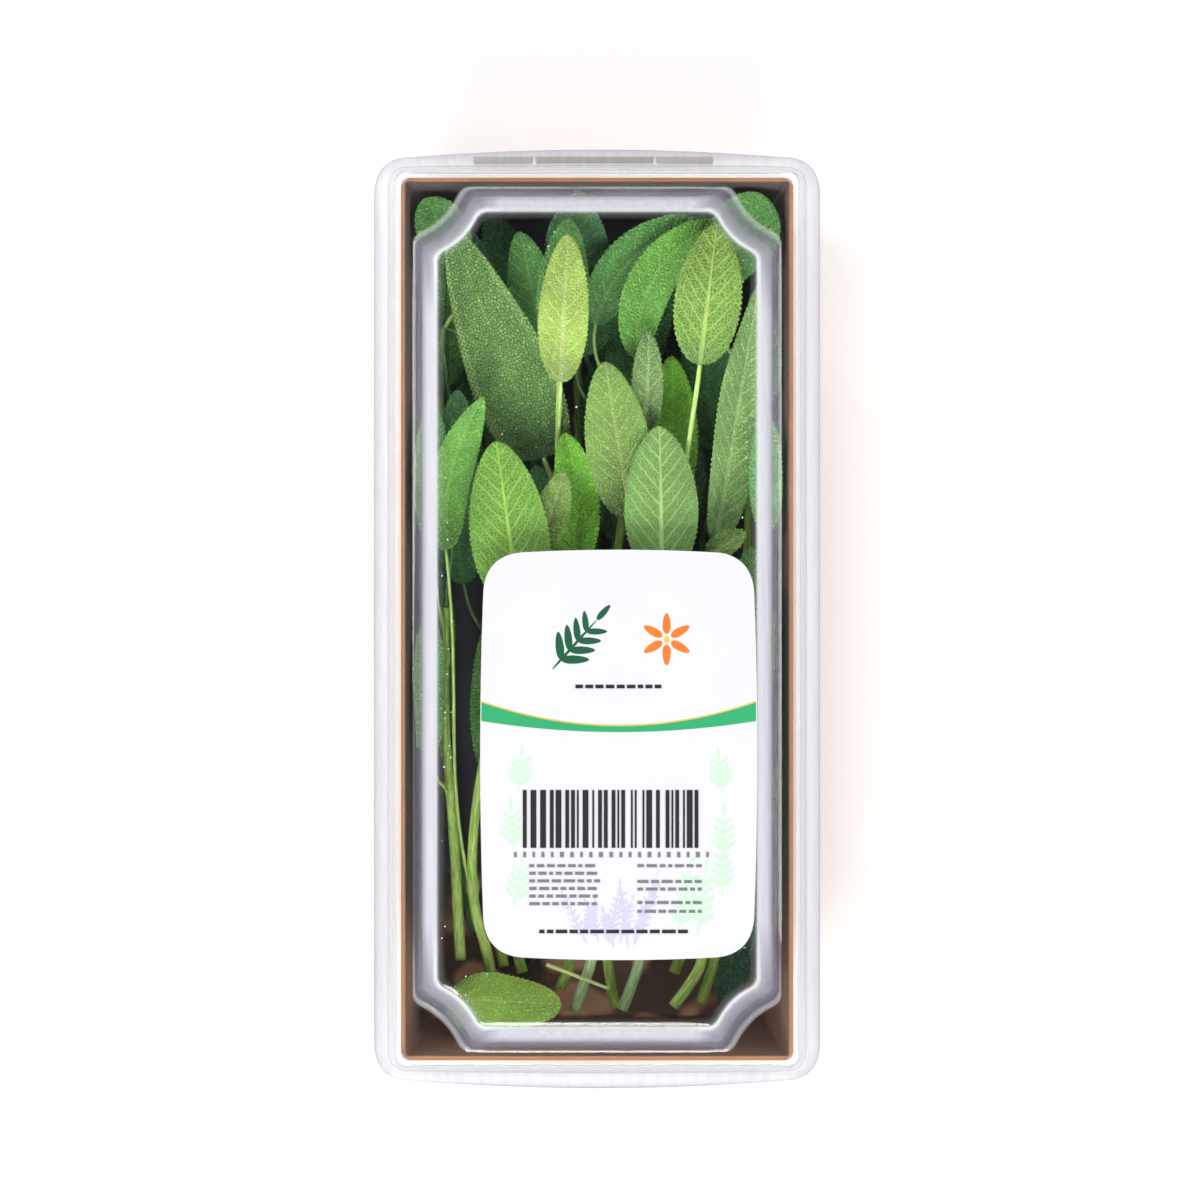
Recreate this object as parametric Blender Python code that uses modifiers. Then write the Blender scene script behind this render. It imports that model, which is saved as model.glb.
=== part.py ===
"""A bunch of fresh sage, packed as sprigs in a folded kraft tray under a clear lid with a paper label.

The pack lies on its base. +Y runs from the cut stems to the leaf tips, +Z is up,
and the origin is the middle of the tray's underside.
"""

import math
import random
from collections import namedtuple

import bmesh
import bpy
import numpy as np
from mathutils import Vector

MM = 0.001

# Tray, in metres: the rim is wider than the floor, so that trays nest.
TRAY_WIDTH = 68 * MM
TRAY_LENGTH = 153 * MM
TRAY_HEIGHT = 30 * MM
WALL_LEAN = 3 * MM
BOARD = 0.8 * MM
TRAY_CORNER = 1.2 * MM

# Lid, in millimetres. A ring has half its width and length, a corner's leg and sag, an end bulge, a height.
# A positive sag hollows the corner, and a negative one rounds it.
Ring = namedtuple("Ring", "half_x half_y leg sag bulge z")
LID_SHEET = 0.5 * MM
CORNER_STEPS = 6
SIDE_STEPS = 4
ROUND = -0.29
PANEL_RING = Ring(27.8, 70.2, 7.5, 1.2, 0.0, 36.5)
FOOT_RING = Ring(31.6, 74.6, 9.2, 1.6, 0.0, 30.9)
RIM_RING = Ring(34.95, 77.45, 1.6, 1.6 * ROUND, 0.0, 30.9)
SKIRT_RING = Ring(36.3, 78.8, 3.2, 3.2 * ROUND, 0.2, 26.0)
FLANGE_RING = Ring(39.0, 80.8, 5.5, 5.5 * ROUND, 1.3, 25.4)

# Label, in millimetres.
LABEL_RING = Ring(23.2, 34.7, 6.5, 6.5 * ROUND, 0.4, 0.0)
LABEL_CENTRE = (3.7, -23.2)
LABEL_GAP = 0.3
LABEL_PAPER = 0.25
LABEL_BOW = 0.5

# Sage, in millimetres and degrees. A leaf grows from a share of its stem's length.
# Its blade starts at x, y, z, heading clockwise from +Y, and bends, pitches, rolls and folds from there.
# The smaller full is, the nearer to its base a blade is widest.
Leaf = namedtuple(
    "Leaf",
    "stem at x y z heading length width bend pitch arch roll fold full",
    defaults=(0, 10, -16, 0, 12, 0.82),
)
BLADE = 0.7
BLADE_STATIONS = 8
MIDRIB_STEPS = 24
FULLNESS = 0.54
LEAST_WIDTH = 0.16
SCALLOP = 0.04
WAVE = 0.45
WAVES = 1.5
STEM_RADIUS = (1.25, 0.85)
STEM_PIECE = 10
PETIOLE_RADIUS = (0.62, 0.5)
PETIOLE_STEPS = 3
PETIOLE_PULL = 0.42
PETIOLE_ENTRY = 0.05
PETIOLE_REACH = 0.16
WELD = 0.01 * MM

# Cells that record what already lies in the tray, in millimetres.
# A piece fills the cells within REACH cells of points SPACING apart, SKIN inside its surface.
CELL = 0.45
SPACING = 0.4
REACH = 2
SKIN = 0.35
GAP = 0.3
SHIFT_STEP = 0.5
SHIFTS = 24

COLOURS = {
    "kraft": ((0.55, 0.33, 0.17, 1), 0.85),
    "clear": ((0.92, 0.94, 0.95, 0.25), 0.1),
    "paper": ((0.95, 0.95, 0.94, 1), 0.6),
    "sage": ((0.22, 0.42, 0.11, 1), 0.7),
}

# Stems run from the cut end to the leafy one.
STEMS = {
    "sprig_left_tall": (
        (-24.7, -61.5, 9), (-25.3, -47, 12), (-26, -34, 14.5), (-27, -18, 17), (-26.8, 2, 19),
    ),
    "sprig_left_main": (
        (-19.2, -64.3, 8.5), (-20.5, -57.5, 10.5), (-22.3, -49, 14), (-21.8, -36, 17), (-19.5, -22, 19),
        (-15.5, -8, 22),
    ),
    "sprig_left_pair": ((-17, -63, 6.5), (-18, -55, 8), (-17.5, -40, 11), (-13, -18, 16), (-8.6, -2, 21)),
    "sprig_young": ((-13.6, -64.4, 5.5), (-14.6, -58, 6), (-12.5, -40, 7.5), (-9, -5, 10), (-7.2, 26, 17)),
    "sprig_middle": ((-4, -70.2, 13.5), (-0.2, -58, 14.5), (3.8, -36, 17.5), (5.6, 4, 23.5)),
    "sprig_arched": ((3.2, -70.4, 8), (1.6, -58, 8.5), (0.5, -30, 9), (3.5, 10, 11), (6.8, 34, 20)),
    "sprig_middle_broad": ((4.5, -70.2, 12), (8.2, -58.5, 13), (10.5, -34, 16.5), (11.5, -4, 23)),
    "sprig_long_petiole": ((13.8, -69.8, 10.5), (19.2, -58.7, 12.5), (17.5, -30, 15), (14.8, 2, 20.5)),
    "sprig_right": ((18.8, -69.3, 8.5), (21.5, -58.7, 10), (23, -32, 14), (20.8, 2, 22)),
    "sprig_corner": ((-22.5, -57, 4), (-27, -30, 6), (-29, 10, 8), (-28.5, 40, 12), (-27.5, 52, 18)),
    "sprig_far_end": ((-6.7, -67.2, 7), (-4.7, -58.7, 7), (-3.5, -20, 6), (-3.5, 42, 7.5), (-4.5, 54, 9)),
    "sprig_far_right": ((14, -64.2, 6.5), (16.5, -55, 7.5), (25.5, -10, 8), (27.5, 28, 10), (26.5, 42, 17)),
    "loose_stalk": ((-9, -61.4, 17.3), (-4, -62.4, 17.6), (0.6, -64.2, 16.4), (2, -66, 15)),
    "loose_leaf_front": ((-30.2, -65.6, 17.4), (-28.6, -66.8, 17.6)),
    "loose_leaf_right": ((27.2, -37, 4), (27.1, -40, 4)),
    "loose_leaf_low": ((-5, -41.5, 2.6), (-5.7, -43.3, 2.6)),
}

# Leaves in the order in which they lie, from the top down.
LEAVES = (
    Leaf("sprig_left_main", 1.0, -13.3, 1.6, 30, -8, 29.5, 13.6, 0, 10, -18, 180, -8),
    Leaf("sprig_middle_broad", 1.0, 11.3, 7.5, 29.5, -1, 26, 12.8, 0, 12, -20, 180, -8),
    Leaf("sprig_long_petiole", 1.0, 17.8, 44, 31, 7, 24.5, 11.6, 0, 6, -12, 180, -8),
    Leaf("sprig_young", 1.0, -6.3, 41.2, 28.5, 2, 25.6, 8.7, 2, 16, -22),
    Leaf("sprig_left_pair", 0.97, -10.2, 11.5, 28.5, 18, 14.8, 6.4),
    Leaf("sprig_middle", 1.0, 6.0, 17.3, 28, -11, 28, 11.4, 3, 14, -22, 0, 8),
    Leaf("sprig_middle_broad", 0.97, 19, 11.2, 27, 60, 8, 4.4),
    Leaf("sprig_left_pair", 1.0, -4.4, 8.5, 24.5, 10, 24.5, 8.2, -26, 14, -24, 0, 18),
    Leaf("sprig_long_petiole", 0.93, 8.7, 33, 28, 0, 17.4, 5.6, 2, 12, -16),
    Leaf("sprig_arched", 1.0, 7.2, 45.8, 26.5, -8, 30, 8.2, 78, 14, -24, 0, 16),
    Leaf("sprig_right", 1.0, 20.7, 13.5, 27, 9, 45.5, 10, 1, 6, -8, -32, 18),
    Leaf("sprig_young", 0.95, -6.6, 45.5, 26, 3, 24.5, 9, 2, 14, -22),
    Leaf("sprig_left_main", 0.3, -26.3, 12, 28, -6, 28, 7.5, 40, 8, -12, -28, 18),
    Leaf("sprig_young", 0.75, -9.5, 28.5, 20, -23, 43.5, 15.6, 2, 20, -10, 16, -8, 0.56),
    Leaf("sprig_left_tall", 0.86, -28.9, 13, 26, 0, 25.5, 6.2, 0, 8, -14, -22),
    Leaf("sprig_left_tall", 0.5, -29.6, -24, 26, 0, 26, 6.2, 0, 6, -12, -35),
    Leaf("sprig_left_pair", 0.5, -18, -30, 23, -1, 31, 9),
    Leaf("sprig_young", 0.9, -8.6, 44.5, 24, -12, 24.5, 9),
    Leaf("sprig_arched", 0.95, -0.2, 52, 25, 14, 27, 8.6, 62, 12, -18, 0, 14),
    Leaf("sprig_left_tall", 1.0, -25.3, 15.3, 22, 2, 25, 7.8),
    Leaf("sprig_left_pair", 0.9, -11, 13, 22, 2, 14, 6),
    Leaf("sprig_left_main", 0.9, -16.5, 16, 21, 4, 17, 6),
    Leaf("sprig_middle_broad", 0.88, 13.2, 20, 23, 1, 26.5, 9, -2, 10, -12),
    Leaf("sprig_arched", 0.9, -3, 47, 20, 24, 26, 9, 24),
    Leaf("sprig_far_right", 0.95, 29.2, 36, 26, 1, 21, 6.8, -3, 6, -8, 34),
    Leaf("sprig_far_right", 0.85, 29.3, 15, 28.4, 0, 21, 5.8, 0, 2, -4, 0, 4),
    Leaf("sprig_far_end", 1.0, -3.6, 59, 13, 0, 22.5, 11.4, 0, 50, -6, 0, 6),
    Leaf("sprig_far_right", 1.0, 20.2, 56.2, 25, 26, 20, 12, 0, 10, -12, 0, 12, 1.5),
    Leaf("sprig_corner", 0.94, -23, 60.5, 25, -28, 15, 9, 0, 8, -8, 0, 12, 1.3),
    Leaf("sprig_corner", 0.97, -18, 48, 23, -12, 21, 5.8),
    Leaf("sprig_corner", 0.85, -25, 33, 16, 2, 27.5, 8.8),
    Leaf("sprig_right", 0.7, 26.8, -19, 23, 0, 32, 8.4),
    Leaf("sprig_right", 0.45, 28.7, -42, 20, 0, 25, 5.2),
    Leaf("loose_leaf_front", 1.0, -26.6, -67.6, 18, 93, 20.2, 13, 0, 2, -6, 40, -6),
    Leaf("loose_leaf_right", 1.0, 25.8, -43.5, 4.6, 184, 28, 9.4, 0, 2, -4, 0, 4),
    Leaf("loose_leaf_low", 1.0, -6.5, -45, 2.6, 202, 20, 8.6, 0, 0, 0, 0, 2),
    Leaf("sprig_middle", 0.6, 0, -24, 24, -10, 28, 10),
    Leaf("sprig_middle_broad", 0.6, 13, -24, 23, 12, 28, 10),
    Leaf("sprig_middle", 0.8, 9, -8, 20, 8, 26, 9),
    Leaf("sprig_far_end", 0.9, 4, 38, 14, 16, 28, 10),
    Leaf("sprig_far_end", 0.85, -11, 34, 13, -16, 28, 10),
    Leaf("sprig_far_right", 0.8, 21, 30, 15, -6, 27, 9.5),
    Leaf("sprig_corner", 0.62, -28, -22, 15, 0, 31, 6.2, 0, 10, -14, -42),
    Leaf("sprig_corner", 0.9, -26.6, 42, 24, 0, 26, 7.6, 0, 10, -14, -10),
    Leaf("sprig_far_right", 0.9, 28.6, 33, 19, 0, 26, 6.2, 0, 12, -16, 42),
    Leaf("sprig_far_right", 0.5, 28, -26, 14, 0, 28, 6.2, 0, 10, -14, 42),
    Leaf("sprig_far_end", 0.97, 9, 50, 12, 22, 25, 10, 6, 16, -18),
    Leaf("sprig_far_end", 0.94, -12, 49, 12, -14, 25, 10, -6, 16, -18),
)

# Low sprigs fill the tray below the others by a rule, with a seeded draw.
LOW_SEED = 11
LOW_STEMS = 5
LOW_LEAVES = 7
LOW_SPREAD = 20
LOW_CUT_Y = -38
LEAF_SHARE = 0.13


def low_sprigs():
    """Low stems side by side, and leaves spread along each on alternate sides."""
    draw = random.Random(LOW_SEED)
    stems, leaves = {}, []
    for number in range(LOW_STEMS):
        name = f"sprig_low_{number + 1}"
        across = LOW_SPREAD * (2 * number / (LOW_STEMS - 1) - 1)
        top_y = draw.uniform(26, 36)
        stems[name] = ((0.8 * across, LOW_CUT_Y, 2.8), (0.9 * across, -10, 3), (across, top_y, 4.5))
        for place in range(LOW_LEAVES):
            side = 1 if place % 2 else -1
            at = 1 - LEAF_SHARE * place
            leaves.append(Leaf(
                stem=name,
                at=at,
                x=across + side * draw.uniform(1, 4),
                y=LOW_CUT_Y + at * (top_y - LOW_CUT_Y) + draw.uniform(8, 12),
                z=draw.uniform(7, 16),
                heading=side * draw.uniform(0, 20),
                length=draw.uniform(20, 27),
                width=draw.uniform(8, 10.5),
                bend=draw.uniform(-14, 14),
                pitch=draw.uniform(6, 14),
                roll=draw.uniform(-20, 20),
            ))
    return stems, leaves


def along(points, steps):
    """A smooth line of steps + 1 points through the given ones."""
    knots = np.array(points, float)
    padded = np.vstack([2 * knots[0] - knots[1], knots, 2 * knots[-1] - knots[-2]])
    spans = len(knots) - 1
    line = []
    for share in np.linspace(0, spans, steps + 1):
        span = min(int(share), spans - 1)
        t = share - span
        before, start, end, after = padded[span:span + 4]
        line.append(0.5 * (
            2 * start
            + (end - before) * t
            + (2 * before - 5 * start + 4 * end - after) * t * t
            + (3 * start - before - 3 * end + after) * t ** 3
        ))
    return np.array(line)


def stem_line(points):
    """A stem's line through its points, in pieces of about the same length."""
    reach = np.linalg.norm(np.diff(np.array(points, float), axis=0), axis=1).sum()
    return along(points, max(1, round(reach / STEM_PIECE)))


def directions(leaf, u):
    """Tangent, sideways and upward unit vectors of a blade at shares u of its length."""
    heading = np.radians(leaf.heading + leaf.bend * u)
    pitch = np.radians(leaf.pitch + leaf.arch * u)
    roll = math.radians(leaf.roll)
    level = np.zeros_like(heading)
    tangent = np.stack(
        [np.cos(pitch) * np.sin(heading), np.cos(pitch) * np.cos(heading), np.sin(pitch)], -1
    )
    level_side = np.stack([np.cos(heading), -np.sin(heading), level], -1)
    level_up = np.cross(level_side, tangent)
    side = level_side * math.cos(roll) + level_up * math.sin(roll)
    return tangent, side, np.cross(side, tangent)


def midrib(leaf, u):
    """Points of the midrib at shares u of the blade's length."""
    ends = np.linspace(0, 1, MIDRIB_STEPS + 1)
    tangent = directions(leaf, (ends[1:] + ends[:-1]) / 2)[0]
    run = np.vstack([np.zeros(3), np.cumsum(tangent, 0) * leaf.length / MIDRIB_STEPS])
    offsets = np.stack([np.interp(u, ends, run[:, axis]) for axis in range(3)], -1)
    return np.array([leaf.x, leaf.y, leaf.z]) + offsets


def half_width(leaf, u):
    """Half the blade's width: an oblong outline with a round tip and a narrower base."""
    outline = np.sin(np.pi * np.clip(u, 0, 1) ** leaf.full) ** FULLNESS
    return leaf.width / 2 * np.maximum(outline, LEAST_WIDTH)


def blade_points(leaf, u, v, scallop=0.0):
    """Points of the blade's middle surface at shares u along and v across, from -1 to 1."""
    tangent, side, up = directions(leaf, u)
    half = half_width(leaf, u)
    out = v * half * (1 + scallop * np.abs(v))
    rise = math.tan(math.radians(leaf.fold)) * np.abs(v) * half
    ripple = WAVE * v * v * np.sin(2 * np.pi * WAVES * u + v)
    return midrib(leaf, u) + side * out[:, None] + up * (rise + ripple)[:, None]


def petiole_path(line, leaf, steps):
    """A leaf's stalk: it leaves the stem along it and runs on a little way under the blade."""
    place = leaf.at * (len(line) - 1)
    first = min(int(place), len(line) - 2)
    run = line[first + 1] - line[first]
    root = line[first] + (place - first) * run
    start = np.zeros(1)
    tangent, _, _ = directions(leaf, start)
    base = midrib(leaf, start)[0]
    pull = PETIOLE_PULL * np.linalg.norm(base - root)
    out = root + run / np.linalg.norm(run) * pull
    arrive = base - tangent[0] * pull
    path = []
    for t in np.linspace(0, 1, steps + 1)[:-1]:
        path.append(
            root * (1 - t) ** 3
            + 3 * out * t * (1 - t) ** 2
            + 3 * arrive * t * t * (1 - t)
            + base * t ** 3
        )
    path.extend(midrib(leaf, np.array([PETIOLE_ENTRY, PETIOLE_REACH])))
    return np.array(path)


def lid_underside(x, y):
    """How high a leaf may reach below the lid, at points x, y."""
    x, y = np.abs(x), np.abs(y)
    foot = FOOT_RING
    cut = (foot.half_x + foot.half_y - foot.leg - x - y) / math.sqrt(2) - foot.sag
    inset = np.minimum(np.minimum(foot.half_x - x, foot.half_y - y), cut)
    share = np.clip(inset / (foot.half_y - PANEL_RING.half_y), 0, 1)
    return foot.z + share * (PANEL_RING.z - foot.z) - LID_SHEET / MM


def inside_pack(points):
    """True if every point is clear of the tray's floor and walls and of the lid."""
    x, y, z = points.T
    lean = WALL_LEAN / MM * (1 - z * MM / TRAY_HEIGHT)
    edge = BOARD / MM + SKIN + GAP
    return bool(
        (z > edge).all()
        and (z < lid_underside(x, y) - SKIN - GAP).all()
        and (np.abs(x) < TRAY_WIDTH / MM / 2 - lean - edge).all()
        and (np.abs(y) < TRAY_LENGTH / MM / 2 - lean - edge).all()
    )


class Cells:
    """Small cells over the tray, each with the number of the piece that fills it."""

    LOW = np.array([-40.0, -82.0, -4.0])
    HIGH = np.array([40.0, 82.0, 40.0])

    def __init__(self):
        self.owner = np.zeros(np.ceil((self.HIGH - self.LOW) / CELL).astype(int), np.int16)

    def index(self, points):
        return tuple(((points - self.LOW) / CELL).astype(int).T)

    def owners(self, points):
        return self.owner[self.index(points)]

    def fill(self, points, number):
        i, j, k = self.index(points)
        steps = range(-REACH, REACH + 1)
        for di in steps:
            for dj in steps:
                for dk in steps:
                    near = (i + di, j + dj, k + dk)
                    free = self.owner[near] == 0
                    self.owner[near] = np.where(free, number, self.owner[near])


def tube_samples(line, radii):
    """Points over the skin of a stalk, spaced closely enough for the cells."""
    lengths = np.linalg.norm(np.diff(line, axis=0), axis=1)
    total = lengths.sum()
    ends = np.concatenate([[0], np.cumsum(lengths)]) / total
    shares = np.linspace(0, 1, max(2, int(total / SPACING)))
    centre = np.stack([np.interp(shares, ends, line[:, axis]) for axis in range(3)], -1)
    radius = radii[0] + (radii[1] - radii[0]) * shares
    offset = np.maximum(radius - SKIN, 0.05)[:, None]
    around = [np.array(way) for way in ((1, 0, 0), (-1, 0, 0), (0, 0, 1), (0, 0, -1))]
    return np.vstack([centre + way * offset for way in around])


def blade_samples(leaf):
    """Points over a blade, spaced closely enough for the cells, and their shares along it."""
    rows = int(leaf.length / SPACING) + 2
    columns = int(leaf.width / SPACING) + 2
    u, v = np.meshgrid(np.linspace(0, 1, rows), np.linspace(-1, 1, columns))
    return blade_points(leaf, u.ravel(), v.ravel()), u.ravel()


def shifts(both_ways):
    """Changes of height to try, nearest to nothing first: down, and up too if both_ways."""
    yield 0.0
    for step in range(1, SHIFTS + 1):
        yield -step * SHIFT_STEP
        if both_ways:
            yield step * SHIFT_STEP


def stem_radii(name):
    """A loose piece is a single leaf's stalk, and the rest are stems."""
    return PETIOLE_RADIUS if name.startswith("loose") else STEM_RADIUS


def settle_stem(cells, points, radii, number):
    """The stem's line, moved up or down until it is clear of the others, or None."""
    line = stem_line(points)
    for shift in shifts(both_ways=True):
        moved = line + np.array([0, 0, shift])
        samples = tube_samples(moved, radii)
        if inside_pack(samples) and not cells.owners(samples).any():
            cells.fill(samples, number)
            return moved
    return None


def settle_leaf(cells, line, leaf, number, both_ways=False):
    """The leaf, moved down until it is clear of other pieces and of its own sprig's leaves, or None."""
    for shift in shifts(both_ways):
        moved = leaf._replace(z=leaf.z + shift)
        blade, u = blade_samples(moved)
        stalk = tube_samples(petiole_path(line, moved, PETIOLE_STEPS), PETIOLE_RADIUS)
        if not inside_pack(blade) or not inside_pack(stalk):
            continue
        by_blade = cells.owners(blade)
        by_stalk = cells.owners(stalk)
        near_base = (by_blade == number) & (u < 2 * PETIOLE_REACH)
        if ((by_blade == 0) | near_base).all() and ((by_stalk == 0) | (by_stalk == number)).all():
            cells.fill(blade, number + 1)
            cells.fill(stalk, number)
            return moved
    return None


def material(name):
    """The part's own plain material of this name."""
    found = bpy.data.materials.get(name)
    if found:
        return found
    made = bpy.data.materials.new(name)
    made.use_nodes = True
    colour, roughness = COLOURS[name]
    shader = made.node_tree.nodes["Principled BSDF"]
    shader.inputs["Base Color"].default_value = colour
    shader.inputs["Roughness"].default_value = roughness
    shader.inputs["Metallic"].default_value = 0.0
    shader.inputs["Alpha"].default_value = colour[3]
    made.diffuse_color = colour
    return made


def object_from(bm, name, slot, collection):
    """A new object that holds this bmesh."""
    mesh = bpy.data.meshes.new(name)
    bm.to_mesh(mesh)
    bm.free()
    mesh.materials.append(material(slot))
    made = bpy.data.objects.new(name, mesh)
    collection.objects.link(made)
    return made


def tube(line, radii, name, collection):
    """A square stalk along a line, as sage stems are, made a closed mesh."""
    curve = bpy.data.curves.new(name, "CURVE")
    curve.dimensions = "3D"
    curve.bevel_depth = MM
    curve.bevel_resolution = 0
    curve.use_fill_caps = True
    spline = curve.splines.new("POLY")
    spline.points.add(len(line) - 1)
    for place, point in enumerate(line):
        share = place / (len(line) - 1)
        spline.points[place].co = (*(point * MM), 1)
        spline.points[place].radius = radii[0] + (radii[1] - radii[0]) * share
    guide = bpy.data.objects.new(name, curve)
    collection.objects.link(guide)
    graph = bpy.context.evaluated_depsgraph_get()
    mesh = bpy.data.meshes.new_from_object(guide.evaluated_get(graph))
    bpy.data.objects.remove(guide)
    bm = bmesh.new()
    bm.from_mesh(mesh)
    bpy.data.meshes.remove(mesh)
    bmesh.ops.remove_doubles(bm, verts=bm.verts, dist=WELD)
    bmesh.ops.recalc_face_normals(bm, faces=bm.faces)
    return object_from(bm, name, "sage", collection)


def blade(leaf, name, collection):
    """A thin leaf blade: a grid bent to the leaf's shape, with a scalloped margin."""
    bm = bmesh.new()
    bmesh.ops.create_grid(bm, x_segments=BLADE_STATIONS, y_segments=2, size=1)
    for vertex in bm.verts:
        station = round((vertex.co.x + 1) / 2 * BLADE_STATIONS)
        u = (1 - math.cos(math.pi * station / BLADE_STATIONS)) / 2
        tooth = SCALLOP if station % 2 else -SCALLOP
        place = blade_points(leaf, np.array([u]), np.array([vertex.co.y]), tooth)[0]
        vertex.co = Vector(place * MM)
    bmesh.ops.triangulate(bm, faces=bm.faces, quad_method="FIXED")
    made = object_from(bm, name, "sage", collection)
    thick = made.modifiers.new("thickness", "SOLIDIFY")
    thick.thickness = BLADE * MM
    thick.offset = 0
    return made


def keep_largest(mesh):
    """Drop loose scraps and sealed hollows that the join left, and keep the largest body."""
    bm = bmesh.new()
    bm.from_mesh(mesh)
    bodies = []
    unseen = set(bm.verts)
    while unseen:
        body = set()
        front = [unseen.pop()]
        while front:
            vertex = front.pop()
            body.add(vertex)
            found = {edge.other_vert(vertex) for edge in vertex.link_edges} & unseen
            unseen -= found
            front.extend(found)
        bodies.append(body)
    largest = max(bodies, key=len)
    scraps = [vertex for body in bodies if body is not largest for vertex in body]
    bmesh.ops.delete(bm, geom=scraps, context="VERTS")
    bm.to_mesh(mesh)
    bm.free()


def grow(name, line, leaves, collection):
    """One sprig as one solid: its stem, with each stalk and blade joined to it."""
    stem = tube(line, stem_radii(name), name, collection)
    if not leaves:
        return
    repeats = bpy.data.collections.new("repeats")
    bpy.context.scene.collection.children.link(repeats)
    for leaf in leaves:
        tube(petiole_path(line, leaf, PETIOLE_STEPS), PETIOLE_RADIUS, "stalk", repeats)
        blade(leaf, "blade", repeats)
    join = stem.modifiers.new("join", "BOOLEAN")
    join.operation = "UNION"
    join.operand_type = "COLLECTION"
    join.collection = repeats
    join.solver = "MANIFOLD"
    graph = bpy.context.evaluated_depsgraph_get()
    joined = bpy.data.meshes.new_from_object(stem.evaluated_get(graph))
    stem.modifiers.clear()
    stem.data = joined
    keep_largest(joined)
    for helper in list(repeats.objects):
        bpy.data.objects.remove(helper)
    bpy.data.collections.remove(repeats)


def ring_points(ring, bow=0.0):
    """Points round a ring, corner by corner, as x and y in millimetres."""
    quarter = []
    for t in np.linspace(0, 1, CORNER_STEPS + 1):
        hollow = ring.sag * 4 * t * (1 - t) / math.sqrt(2)
        quarter.append((
            ring.half_x - ring.leg * t - hollow,
            ring.half_y - ring.leg * (1 - t) - hollow,
        ))
    corners = [
        quarter,
        [(-x, y) for x, y in reversed(quarter)],
        [(-x, -y) for x, y in quarter],
        [(x, -y) for x, y in reversed(quarter)],
    ]
    points = []
    for number, corner in enumerate(corners):
        points.extend(corner)
        (x0, y0), (x1, y1) = corner[-1], corners[(number + 1) % 4][0]
        for step in range(1, SIDE_STEPS):
            t = step / SIDE_STEPS
            swell = 4 * t * (1 - t)
            along_end = number % 2 == 0
            out_y = ring.bulge * swell * (1 if y0 > 0 else -1) if along_end else 0
            out_x = bow * swell * (1 if x0 > 0 else -1) if not along_end else 0
            points.append((x0 + (x1 - x0) * t + out_x, y0 + (y1 - y0) * t + out_y))
    return points


def build_tray(collection):
    """The folded kraft tray: an open box whose walls lean out."""
    bm = bmesh.new()
    bmesh.ops.create_cube(bm, size=1)
    for vertex in bm.verts:
        lean = 0 if vertex.co.z > 0 else WALL_LEAN
        vertex.co.x *= TRAY_WIDTH - 2 * lean
        vertex.co.y *= TRAY_LENGTH - 2 * lean
        vertex.co.z = TRAY_HEIGHT if vertex.co.z > 0 else 0
    top = [face for face in bm.faces if face.normal.z > 0.5]
    bmesh.ops.delete(bm, geom=top, context="FACES_ONLY")
    folds = [edge for edge in bm.edges if not edge.is_boundary]
    bmesh.ops.bevel(
        bm, geom=folds, offset=TRAY_CORNER, offset_type="OFFSET", segments=2,
        profile=0.5, affect="EDGES", material=-1,
    )
    tray = object_from(bm, "tray", "kraft", collection)
    board = tray.modifiers.new("board", "SOLIDIFY")
    board.thickness = BOARD
    board.offset = -1
    board.use_even_offset = True


def build_lid(collection):
    """The clear lid: a raised panel with hollowed corners, a step over the rim and a flange."""
    bm = bmesh.new()
    border = [bm.verts.new((x * MM, y * MM, PANEL_RING.z * MM)) for x, y in ring_points(PANEL_RING)]
    bm.faces.new(border)
    edges = list(bm.edges)
    for ring in (FOOT_RING, RIM_RING, SKIRT_RING, FLANGE_RING):
        grown = bmesh.ops.extrude_edge_only(bm, edges=edges)["geom"]
        edges = [item for item in grown if isinstance(item, bmesh.types.BMEdge)]
        twins = {tuple(item.co): item for item in grown if isinstance(item, bmesh.types.BMVert)}
        border = [twins[tuple(vertex.co)] for vertex in border]
        for vertex, (x, y) in zip(border, ring_points(ring)):
            vertex.co = Vector((x, y, ring.z)) * MM
    bmesh.ops.recalc_face_normals(bm, faces=bm.faces)
    lid = object_from(bm, "lid", "clear", collection)
    sheet = lid.modifiers.new("sheet", "SOLIDIFY")
    sheet.thickness = LID_SHEET
    sheet.offset = -1
    sheet.use_even_offset = True


def build_label(collection):
    """The paper label, just above the lid's panel."""
    curve = bpy.data.curves.new("label", "CURVE")
    curve.dimensions = "2D"
    curve.fill_mode = "BOTH"
    curve.extrude = LABEL_PAPER / 2 * MM
    curve.materials.append(material("paper"))
    points = ring_points(LABEL_RING, LABEL_BOW)
    spline = curve.splines.new("POLY")
    spline.use_cyclic_u = True
    spline.points.add(len(points) - 1)
    for point, (x, y) in zip(spline.points, points):
        point.co = (x * MM, y * MM, 0, 1)
    label = bpy.data.objects.new("label", curve)
    label.location = Vector((*LABEL_CENTRE, PANEL_RING.z + LABEL_GAP + LABEL_PAPER / 2)) * MM
    collection.objects.link(label)


def build_bunch(collection):
    """Every sprig: stems are settled first, then leaves from the top down, and then each is grown."""
    cells = Cells()
    low_stems, low_leaves = low_sprigs()
    numbers = {}
    lines = {}
    for place, (name, points) in enumerate({**STEMS, **low_stems}.items()):
        numbers[name] = 2 * place + 1
        lines[name] = settle_stem(cells, points, stem_radii(name), numbers[name])
    leaves = {name: [] for name in lines}
    for leaf in LEAVES + tuple(low_leaves):
        line = lines[leaf.stem]
        low = leaf.stem in low_stems
        settled = line is not None and settle_leaf(cells, line, leaf, numbers[leaf.stem], low)
        if settled:
            leaves[leaf.stem].append(settled)
    for name, line in lines.items():
        if line is not None:
            grow(name, line, leaves[name], collection)


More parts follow.
